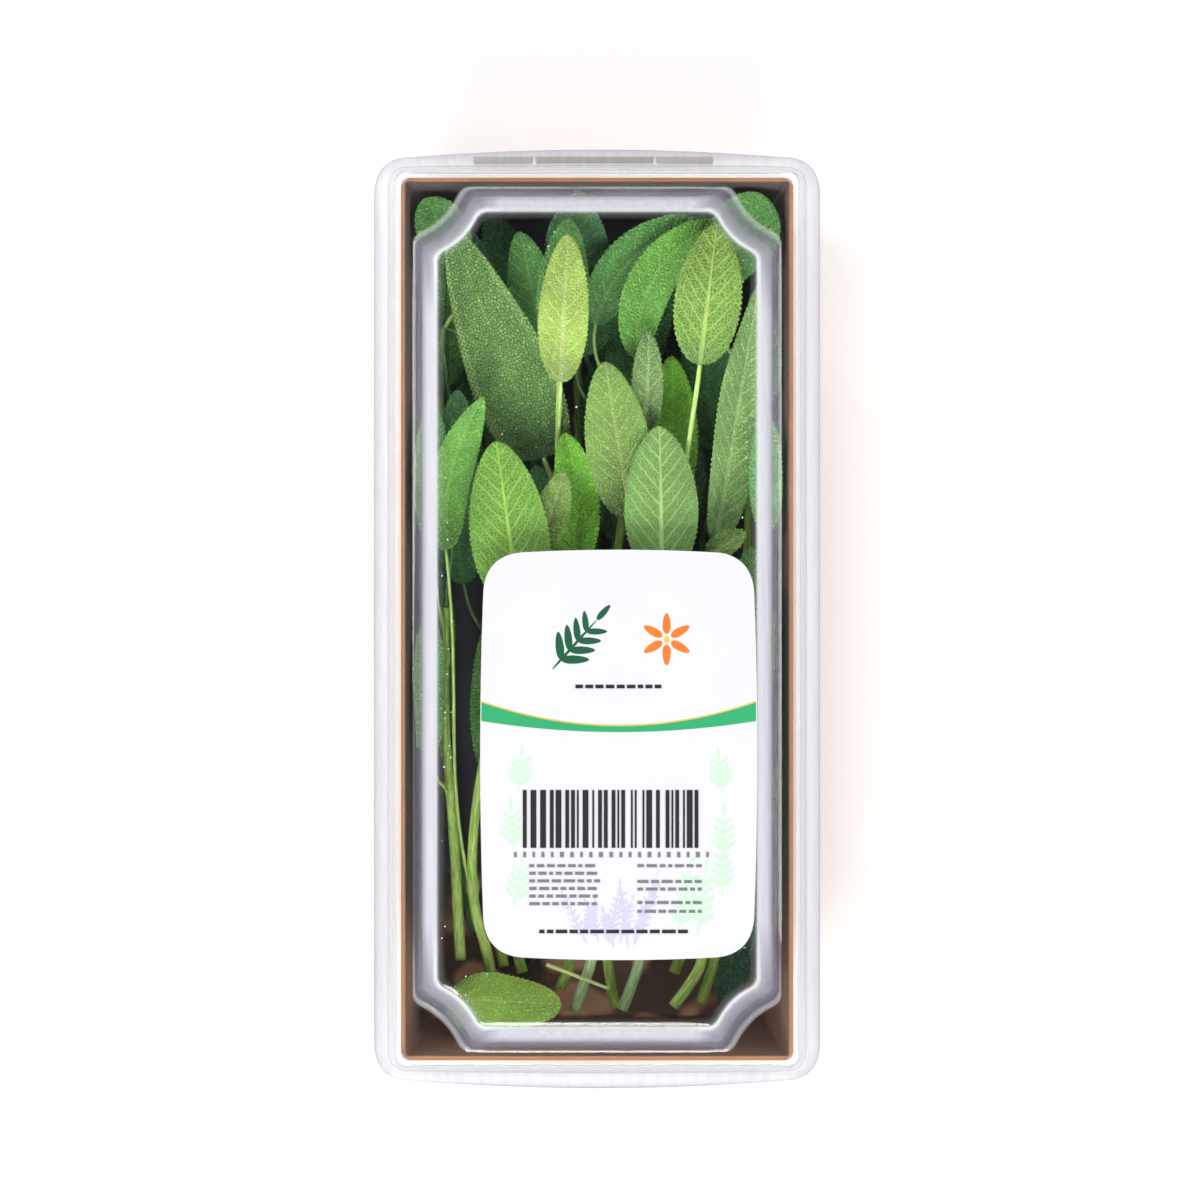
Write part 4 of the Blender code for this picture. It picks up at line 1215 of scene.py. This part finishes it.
def stack_rings(bm, rings, cap):
    """A skin through the rings, from the first outward, with the first one filled if cap."""
    border = [bm.verts.new((x * MM, y * MM, rings[0].z * MM)) for x, y in ring_points(rings[0])]
    edges = [bm.edges.new((a, b)) for a, b in zip(border, border[1:] + border[:1])]
    if cap:
        bmesh.ops.contextual_create(bm, geom=border)
    for ring in rings[1:]:
        grown = bmesh.ops.extrude_edge_only(bm, edges=edges)["geom"]
        edges = [item for item in grown if isinstance(item, bmesh.types.BMEdge)]
        twins = {tuple(item.co): item for item in grown if isinstance(item, bmesh.types.BMVert)}
        border = [twins[tuple(vertex.co)] for vertex in border]
        for vertex, (x, y) in zip(border, ring_points(ring)):
            vertex.co = Vector((x, y, ring.z)) * MM


def thicken(piece, thickness, offset):
    """Give a skin its thickness."""
    wall = piece.modifiers.new("wall", "SOLIDIFY")
    wall.thickness = thickness
    wall.offset = offset
    wall.use_even_offset = True


# %% [markdown]
# Clear plastic is glass to a renderer, but glass blocks lamps: the leaves would lie in the dark. Rays
# that only ask whether a lamp is hidden are let straight through, and every other ray sees the plastic.

# %% Clear plastic
CLEAR_COLOUR = (0.985, 0.99, 1.0, 1)

clear, clear_tree, clear_shader = new_material("clear_lid")
clear_shader.inputs["Base Color"].default_value = CLEAR_COLOUR
clear_shader.inputs["Roughness"].default_value = 0.03
clear_shader.inputs["IOR"].default_value = 1.5
clear_shader.inputs["Transmission Weight"].default_value = 1.0
light_passes = node(clear_tree, "MixShader")
feed(clear_tree, light_passes.inputs[0], node(clear_tree, "LightPath").outputs["Is Shadow Ray"])
feed(clear_tree, light_passes.inputs[1], clear_shader.outputs[0])
feed(clear_tree, light_passes.inputs[2], node(clear_tree, "BsdfTransparent").outputs[0])
feed(clear_tree, clear_tree.nodes["Material Output"].inputs["Surface"], light_passes.outputs[0])
print("the clear finish has", len(clear_tree.nodes), "nodes")

# %% The lid
LID_SHEET = 0.4 * MM

lid_mesh = bmesh.new()
stack_rings(lid_mesh, lid_rings, cap=True)
lid = finish_piece(lid_mesh, "lid_sheet", clear, "clear", "lid")
thicken(lid, LID_SHEET, -1)
print("the lid has", len(lid.data.polygons), "faces")

# %% [markdown]
# Where the sheet was drawn steeply over the mould it is thinned and clouded, and in a bright room these
# slopes look silver. A thin veil lies just outside them: a milky finish that lets the rest show through,
# with its colour and its cover carried by the mesh, level by level. Its silver and lavender bands are
# partly that clouding and partly painted reflection and shade of the room's light, lighter on some bends
# and darker on others. A row below gives a share of the way outward, colour and cover along the sides,
# and then both at the corners.

# %% Colour and cover by level
# These colours are clouding and painted reflection together, the room's light seen in the slopes.
PANEL_VEIL = (
    (0.0, "ffffff", 0.0, "ffffff", 0.0),
    (0.11, "dfe6e2", 0.03, "dfe6e2", 0.04),
    (0.15, "d8dcde", 0.16, "dfe2e4", 0.2),
    (0.175, "d4d6da", 0.7, "e6e8eb", 0.8),
    (0.215, "d2d3d9", 0.8, "dcdee2", 0.78),
    (0.28, "d2d1da", 0.86, "b2b1bc", 0.66),
    (0.45, "cccad4", 0.86, "a09fab", 0.6),
    (0.57, "b6b4bf", 0.72, "9a99a6", 0.56),
    (0.67, "827e8c", 0.24, "848290", 0.46),
    (0.85, "73707e", 0.12, "7c7a88", 0.38),
    (0.89, "9a9da4", 0.12, "b4b9bb", 0.4),
    (0.93, "ffffff", 0.0, "ffffff", 0.0),
    (1.0, "ffffff", 0.0, "ffffff", 0.0),
)
SKIRT_VEIL = (
    (0.0, "ffffff", 0.0, "ffffff", 0.0),
    (0.06, "ffffff", 0.5, "ffffff", 0.5),
    (0.12, "dcdce1", 0.35, "e2e2e6", 0.35),
    (0.3, "d2d2d8", 0.5, "d8d8dd", 0.45),
    (0.36, "f4f4f6", 0.6, "f6f6f8", 0.6),
    (0.42, "d4d3d9", 0.5, "dadadf", 0.5),
    (0.62, "dcdbe0", 0.65, "e2e2e6", 0.65),
    (0.66, "c4c3ca", 0.62, "cac9cf", 0.62),
    (0.7, "dedee2", 0.8, "e4e4e8", 0.8),
    (0.93, "d8d8dd", 0.78, "dedee2", 0.78),
    (0.965, "cccbd2", 0.75, "cfced5", 0.75),
    (0.985, "cccbd2", 0.75, "cfced5", 0.75),
)
print("the veil has", len(PANEL_VEIL) + len(SKIRT_VEIL), "levels")

# %% The veil's finish
CLOUD_STRETCH = (1, 0.12, 1)
CLOUD_SCALE = 700
CLOUD_COVER = (0.3, 0.7, 0.92, 1.04)

# The veil's finish shows clouding of the sheet together with painted light.
veil, veil_tree, veil_shader = new_material("clouding_and_painted_light")
tint = read(veil_tree, "veil")
drawn = node(veil_tree, "VectorMath", operation="MULTIPLY")
feed(veil_tree, drawn.inputs[0], node(veil_tree, "TexCoord").outputs["Object"])
feed(veil_tree, drawn.inputs[1], CLOUD_STRETCH)
drawn_streaks = noise(veil_tree, drawn.outputs[0], CLOUD_SCALE, detail=3, roughness=0.6)
cover = calc(veil_tree, "MULTIPLY", tint.outputs["Alpha"], band(veil_tree, drawn_streaks, *CLOUD_COVER))
feed(veil_tree, veil_shader.inputs["Base Color"], tint.outputs["Color"])
feed(veil_tree, veil_shader.inputs["Alpha"], cover)
veil_shader.inputs["Roughness"].default_value = 0.35
print("the veil's finish has", len(veil_tree.nodes), "nodes")

# %% The clouded slopes and their painted reflection
VEIL_OUT = 0.07
VEIL_SHEET = 0.05 * MM
PANEL_FOOT_X = 33
RIM_STEP_X = 33.6


def ring_at(rings, share):
    """The ring at a share of the way through the rings, moved a hair outward and up."""
    steps = [math.hypot(b.half_x - a.half_x, b.z - a.z) for a, b in zip(rings, rings[1:])]
    ends = np.concatenate([[0], np.cumsum(steps)]) / sum(steps)
    values = [np.interp(share, ends, [ring[part] for ring in rings]) for part in range(6)]
    for part in (0, 1, 5):
        values[part] += VEIL_OUT
    return Ring(*values)


def veil_skin(name, rings, levels):
    """A thin milky skin over part of the lid, clouding and painted reflection, with colour and cover for
    sides and for corners.
    """
    bm = bmesh.new()
    layer = bm.verts.layers.float_color.new("veil")
    stations = [ring_at(rings, level[0]) for level in levels]
    stack_rings(bm, stations, cap=False)
    bm.verts.ensure_lookup_table()
    size = len(ring_points(stations[0]))
    for number, vertex in enumerate(bm.verts):
        level = levels[number // size]
        at_corner = number % size % (size // 4) <= CORNER_STEPS + 2
        code, cover = level[3:] if at_corner else level[1:3]
        vertex[layer] = (*paint(code)[:3], cover)
    piece = finish_piece(bm, name, veil, "clear")
    thicken(piece, VEIL_SHEET, 0)


foot_at = max(number for number, ring in enumerate(lid_rings) if ring.half_x < PANEL_FOOT_X)
rim_at = min(number for number, ring in enumerate(lid_rings) if ring.half_x > RIM_STEP_X)
veil_skin("lid_panel_veil", lid_rings[1:foot_at + 1], PANEL_VEIL)
veil_skin("lid_skirt_veil", lid_rings[rim_at:], SKIRT_VEIL)
print("the panel's veil covers", foot_at, "rings and the skirt's", len(lid_rings) - rim_at)

# %% [markdown]
# At the far end the flange carries a grip: a shallow bar between two lugs, pressed into the sheet.
# Each is a low box with softened edges. Damp air inside leaves small drops under the lid, most of them
# near its edges, and they are flattened spheres scattered by a seeded draw. An area below is given by its
# left, right, near and far sides and the number of its drops.

# %% The grip
# The grip's milky grey is painted shade: the pressed bar and lugs are clear plastic that look grey in the
# shade of their bulge.
GRIP = (
    (-16.4, 10.4, "bab6b2", 0.75),
    (-0.4, 20.6, "afaba6", 0.8),
    (15.3, 10.0, "bab6b2", 0.75),
)
GRIP_Y = 79.85
GRIP_DEPTH = 2.0
GRIP_Z = 25.85
GRIP_HEIGHT = 0.5
GRIP_EDGE = 0.18 * MM

grip = bmesh.new()
grip_layer = grip.verts.layers.float_color.new("veil")
for middle, width, code, cover in GRIP:
    box = bmesh.ops.create_cube(grip, size=1)["verts"]
    for vertex in box:
        x, y, z = vertex.co
        vertex.co = Vector((middle + x * width, GRIP_Y + y * GRIP_DEPTH, GRIP_Z + z * GRIP_HEIGHT)) * MM
        vertex[grip_layer] = (*paint(code)[:3], cover)
bmesh.ops.bevel(
    grip, geom=list(grip.edges), offset=GRIP_EDGE, offset_type="OFFSET", segments=2, profile=0.5,
    affect="EDGES", material=-1,
)
finish_piece(grip, "lid_grip", veil, "clear")
print("the grip has", len(GRIP), "bars")

# %% The drops
DROP_SEED = 3
DROP_Z = 36.02
DROP_RADIUS = (0.08, 0.19)
DROP_FLATNESS = 0.4
# The drops' pale grey cover is painted: it stands for the glints and dark marks that clear water makes in the
# light.
DROP_COLOUR = (0.62, 0.65, 0.66, 0.75)
DROP_AREAS = (
    (24.6, 26.6, -60, 62, 26),
    (-26.6, -24.8, -62, 60, 22),
    (-22, 22, 63, 67, 4),
    (-24, -16, -66, -60, 6),
    (-22, 22, 20, 60, 3),
)

draw = random.Random(DROP_SEED)
drops = bmesh.new()
drop_layer = drops.verts.layers.float_color.new("veil")
for left, right, near, far, count in DROP_AREAS:
    for _ in range(count):
        centre = Vector((draw.uniform(left, right), draw.uniform(near, far), DROP_Z))
        radius = draw.uniform(*DROP_RADIUS)
        ball = bmesh.ops.create_icosphere(drops, subdivisions=1, radius=radius)["verts"]
        for vertex in ball:
            vertex.co.z *= DROP_FLATNESS
            vertex.co = (vertex.co + centre) * MM
            vertex[drop_layer] = DROP_COLOUR
finish_piece(drops, "lid_drops", veil, "clear")
print("drops:", sum(area[-1] for area in DROP_AREAS))

# %% [markdown]
# The label is white paper with round corners. What is printed on it here is a plain design: a green
# stripe with a gold line, a leafy twig and a flower, faint leaf sprays, bars of random widths, and rows of
# strokes where small print would be. Each ink is cut from flat shapes a hair above the paper, and shapes
# that cross lie at slightly different heights, so that no two faces share a place.

# %% The paper's finish
PAPER_COLOUR = "dcdcdf"
PAPER_RELIEF = 0.01 * MM

paper, paper_tree, paper_shader = new_material("label_paper")
here = node(paper_tree, "TexCoord").outputs["Object"]
white = paint(PAPER_COLOUR)
colour, grain = mottled_colour(paper_tree, here, white, cloud_scale=60, grain_scale=2500, amount=0.05)
feed(paper_tree, paper_shader.inputs["Base Color"], colour)
feed(paper_tree, paper_shader.inputs["Normal"], bump(paper_tree, grain, PAPER_RELIEF, strength=0.4))
paper_shader.inputs["Roughness"].default_value = 0.45
print("the paper's finish has", len(paper_tree.nodes), "nodes")

# %% The label
LABEL_RING = Ring(23.2, 34.7, 6.5, 6.5 * ROUND, 0.4, 36.62)
LABEL_CENTRE = (3.7, -23.2)
LABEL_BOW = 0.5
LABEL_PAPER = 0.14 * MM

label_mesh = bmesh.new()
outline = [
    label_mesh.verts.new(((x + LABEL_CENTRE[0]) * MM, (y + LABEL_CENTRE[1]) * MM, LABEL_RING.z * MM))
    for x, y in ring_points(LABEL_RING, LABEL_BOW)
]
label_mesh.faces.new(outline)
label = finish_piece(label_mesh, "label_sheet", paper, "paper", "label", smooth=False)
thicken(label, LABEL_PAPER, 1)
print("the label's outline has", len(outline), "points")

# %% Inks and flat shapes
INKS = {
    "ink_leaf_green": "1b5a3a",
    "ink_wave_green": "33a56c",
    "ink_gold": "e6bb45",
    "ink_orange": "e67a2c",
    "ink_faint_green": "c8e9cb",
    "ink_faint_lilac": "cdc7e3",
    "ink_black": "26262a",
    "ink_grey": "77777c",
}
sheets = {name: bmesh.new() for name in INKS}
print("inks:", len(sheets))

# %% Places and bars on the label
INK_LIFT = 0.15
INK_STEP = 0.0015


def print_place(x, y, level=0):
    """A place on the label, in millimetres from its middle."""
    lift = INK_LIFT + INK_STEP * level
    return Vector((LABEL_CENTRE[0] + x, LABEL_CENTRE[1] + y, LABEL_RING.z + lift)) * MM


def print_bar(ink, x, y, width, height, level=0):
    """A printed rectangle with its lower left corner at x, y."""
    sheet = sheets[ink]
    corners = ((x, y), (x + width, y), (x + width, y + height), (x, y + height))
    bmesh.ops.contextual_create(sheet, geom=[sheet.verts.new(print_place(a, b, level)) for a, b in corners])


# %% Printed leaves and ribbons
LEAF_SIDES = 24
LEAF_TAPER = 0.35
RIBBON_STEPS = 40
PAST_PAPER = 0.3


def print_leaf(ink, x, y, length, width, angle, level=0):
    """A printed leaf: a circle of points drawn out to a tip, with its foot at x, y."""
    sheet = sheets[ink]
    turn = math.radians(angle)
    disc = bmesh.ops.create_circle(sheet, cap_ends=True, segments=LEAF_SIDES, radius=1)["verts"]
    for vertex in disc:
        run = (vertex.co.y + 1) / 2
        a, b = vertex.co.x * width / 2 * (1 - LEAF_TAPER * run), run * length
        vertex.co = print_place(
            x + a * math.cos(turn) + b * math.sin(turn), y - a * math.sin(turn) + b * math.cos(turn), level
        )


def print_ribbon(ink, middle, half, level=0):
    """A printed ribbon across x, whose middle and half width are functions of a share from 0 to 1."""
    sheet = sheets[ink]
    edge = LABEL_RING.half_x + PAST_PAPER
    before = None
    for step in range(RIBBON_STEPS + 1):
        t = step / RIBBON_STEPS
        x = edge * (2 * t - 1)
        pair = [sheet.verts.new(print_place(x, middle(t) + side * half(t), level)) for side in (-1, 1)]
        if before:
            bmesh.ops.contextual_create(sheet, geom=before + pair)
        before = pair


# %% A printed twig
TWIG_STEM = (0.35, 0.02)
TWIG_FIRST = 0.2
TWIG_RUN = 0.75
TWIG_TAPER = 0.35
TWIG_LEAF = 0.36
TWIG_SPREAD = 48
TWIG_END = (0.7, 0.26)


def print_twig(ink, x, y, length, angle, leaves, leaf_length, level=0):
    """A printed twig: a thin stem with pairs of leaves and one at its end."""
    turn = math.radians(angle)
    print_leaf(ink, x, y, length, TWIG_STEM[0] + TWIG_STEM[1] * length, angle, level + 3)
    for number in range(leaves):
        run = length * (TWIG_FIRST + TWIG_RUN * number / leaves)
        a, b = x + run * math.sin(turn), y + run * math.cos(turn)
        size = leaf_length * (1 - TWIG_TAPER * number / leaves)
        for side in (-1, 1):
            print_leaf(ink, a, b, size, size * TWIG_LEAF, angle + side * TWIG_SPREAD, level + (side > 0))
    end_x, end_y = x + length * math.sin(turn), y + length * math.cos(turn)
    print_leaf(ink, end_x, end_y, leaf_length * TWIG_END[0], leaf_length * TWIG_END[1], angle, level + 2)


# %% The stripe
WAVE_HEIGHT = 4.4
WAVE_SAG = 3.0
STRIPE_HALF = (0.5, 1.1)
GOLD_LIFT = 0.65
GOLD_HALF = 0.12


def wave(t):
    """The height of the green stripe's middle, which sags between the label's sides."""
    return WAVE_HEIGHT + WAVE_SAG * (2 * t - 1) ** 2


def stripe_half(t):
    """Half the green stripe's width, which grows towards the label's sides."""
    return STRIPE_HALF[0] + STRIPE_HALF[1] * (2 * t - 1) ** 2


def gold_middle(t):
    """The height of the gold line's middle, just above the stripe."""
    return wave(t) + GOLD_LIFT + STRIPE_HALF[1] * (2 * t - 1) ** 2


print_ribbon("ink_wave_green", wave, stripe_half)
print_ribbon("ink_gold", gold_middle, lambda t: GOLD_HALF)
print("the stripe has", len(sheets["ink_wave_green"].faces), "faces")

# %% The twig and the flower
FLOWER = (8.2, 19.8)
FLOWER_HEART = 0.9
PETALS = 6

print_twig("ink_leaf_green", -11.4, 14.6, length=11.5, angle=42, leaves=4, leaf_length=4.8)
for petal in range(PETALS):
    angle = 360 * petal / PETALS
    turn = math.radians(angle)
    foot_x = FLOWER[0] + FLOWER_HEART * math.sin(turn)
    foot_y = FLOWER[1] + FLOWER_HEART * math.cos(turn)
    print_leaf("ink_orange", foot_x, foot_y, length=3.6, width=1.7, angle=angle)
print_leaf("ink_gold", FLOWER[0], FLOWER[1] - 0.6, length=1.2, width=1.2, angle=0)
print("the twig has", len(sheets["ink_leaf_green"].faces), "shapes and the flower", PETALS, "petals")

# %% A row of strokes
PRINT_SEED = 5
TOP_LEVEL = 60

draw = random.Random(PRINT_SEED)


def print_strokes(ink, left, right, y, height, shortest, longest, space):
    """A row of short strokes, as fine print looks from afar."""
    x = left
    while x < right - shortest:
        width = min(draw.uniform(shortest, longest), right - x)
        print_bar(ink, x, y, width, height, level=TOP_LEVEL)
        x += width + space


print_strokes("ink_black", -7.4, 7.3, y=11.4, height=0.6, shortest=0.9, longest=1.5, space=0.4)
print("strokes under the flower:", len(sheets["ink_black"].faces))

# %% The faint sprays
TWIG_LEVELS = 4
SIDE_FEET = (-18.4, 18.2)
SIDE_HEIGHTS = (-7, -16, -25)
SIDE_LEAVES = (4, 2.8)
LOW_FEET = (10, 13.5)
LOW_Y = -31
LOW_TWIG_LEAVES = (5, 3)
LILAC_SPRAYS = 9
LILAC_LEAVES = (6, 1.6)

for side, foot in zip((1, -1), SIDE_FEET):
    for number, height in enumerate(SIDE_HEIGHTS):
        x = foot + side * draw.uniform(0, 2)
        y = height + draw.uniform(-2, 1)
        length = draw.uniform(6, 8)
        angle = side * draw.uniform(-4, 14)
        print_twig("ink_faint_green", x, y, length, angle, *SIDE_LEAVES, level=TWIG_LEVELS * number)
for number, foot in enumerate(LOW_FEET, start=len(SIDE_HEIGHTS)):
    length = draw.uniform(9, 12)
    angle = draw.uniform(4, 18)
    print_twig("ink_faint_green", foot, LOW_Y, length, angle, *LOW_TWIG_LEAVES, level=TWIG_LEVELS * number)
for number in range(LILAC_SPRAYS):
    x = -2 + draw.uniform(-4, 5)
    y = -33 + draw.uniform(0, 2)
    length = draw.uniform(6, 12)
    angle = draw.uniform(-26, 26)
    print_twig("ink_faint_lilac", x, y, length, angle, *LILAC_LEAVES, level=TWIG_LEVELS * number)
print("faint shapes:", len(sheets["ink_faint_green"].faces) + len(sheets["ink_faint_lilac"].faces))

# %% Bars and small print
BARS_X = (-16.4, 13.9)
BARS_Y = (-15.9, -6.0)
BAR_UNIT = 0.33
PAST_BARS = 1.5
SMALL_PRINT = (
    (-15.3, -3.2, (-19.2, -20.5, -21.8, -23.1, -24.4, -25.7)),
    (3.2, 14.2, (-19.2, -21.9, -23.2, -25.5, -27.0)),
)

x = BARS_X[0]
while x < BARS_X[1]:
    width = BAR_UNIT * draw.choice((1, 1, 2, 2, 3))
    print_bar("ink_black", x, BARS_Y[0], width, BARS_Y[1] - BARS_Y[0], level=TOP_LEVEL)
    x += width + BAR_UNIT * draw.choice((1, 1, 2, 3))
under_bars = (BARS_X[0] - PAST_BARS, BARS_X[1] + PAST_BARS)
print_strokes("ink_grey", *under_bars, y=-17.5, height=0.9, shortest=0.4, longest=0.7, space=1.1)
for left, right, heights in SMALL_PRINT:
    for y in heights:
        print_strokes("ink_grey", left, right, y, height=0.5, shortest=0.6, longest=2.0, space=0.45)
print_strokes("ink_black", -13.6, 12.6, y=-30.5, height=0.6, shortest=0.8, longest=2.4, space=0.4)
print("bars and strokes:", len(sheets["ink_black"].faces) + len(sheets["ink_grey"].faces))

# %% Inks onto the label
INK_FILM = 0.01 * MM

for name, code in INKS.items():
    ink, ink_tree, ink_shader = new_material(name)
    here = node(ink_tree, "TexCoord").outputs["Object"]
    colour, _ = mottled_colour(ink_tree, here, paint(code), cloud_scale=80, grain_scale=2500, amount=0.12)
    feed(ink_tree, ink_shader.inputs["Base Color"], colour)
    ink_shader.inputs["Roughness"].default_value = 0.4
    printed = finish_piece(sheets[name], "print_" + name[4:], ink, "paper", smooth=False)
    thicken(printed, INK_FILM, 1)
    print(printed.name, "has", len(printed.data.polygons), "faces")

# %% [markdown]
# The pack lies on a pale floor, which isn't part of it.

# %% The floor
FLOOR_HALF = 1.5
FLOOR_DROP = 0.3 * MM
FLOOR_COLOUR = (0.98, 0.98, 0.98, 1)

floor_mesh = bmesh.new()
bmesh.ops.create_grid(floor_mesh, x_segments=1, y_segments=1, size=FLOOR_HALF)
bmesh.ops.translate(floor_mesh, verts=floor_mesh.verts, vec=(0, 0, -FLOOR_DROP))
floor_data = bpy.data.meshes.new("floor")
floor_mesh.to_mesh(floor_data)
floor_mesh.free()
floor = bpy.data.objects.new("floor", floor_data)
bpy.context.scene.collection.objects.link(floor)
floor_finish, _, floor_shader = new_material("pale_floor")
floor_shader.inputs["Base Color"].default_value = FLOOR_COLOUR
floor_shader.inputs["Roughness"].default_value = 0.7
floor_data.materials.append(floor_finish)
print("the floor is", 2 * FLOOR_HALF, "m wide")
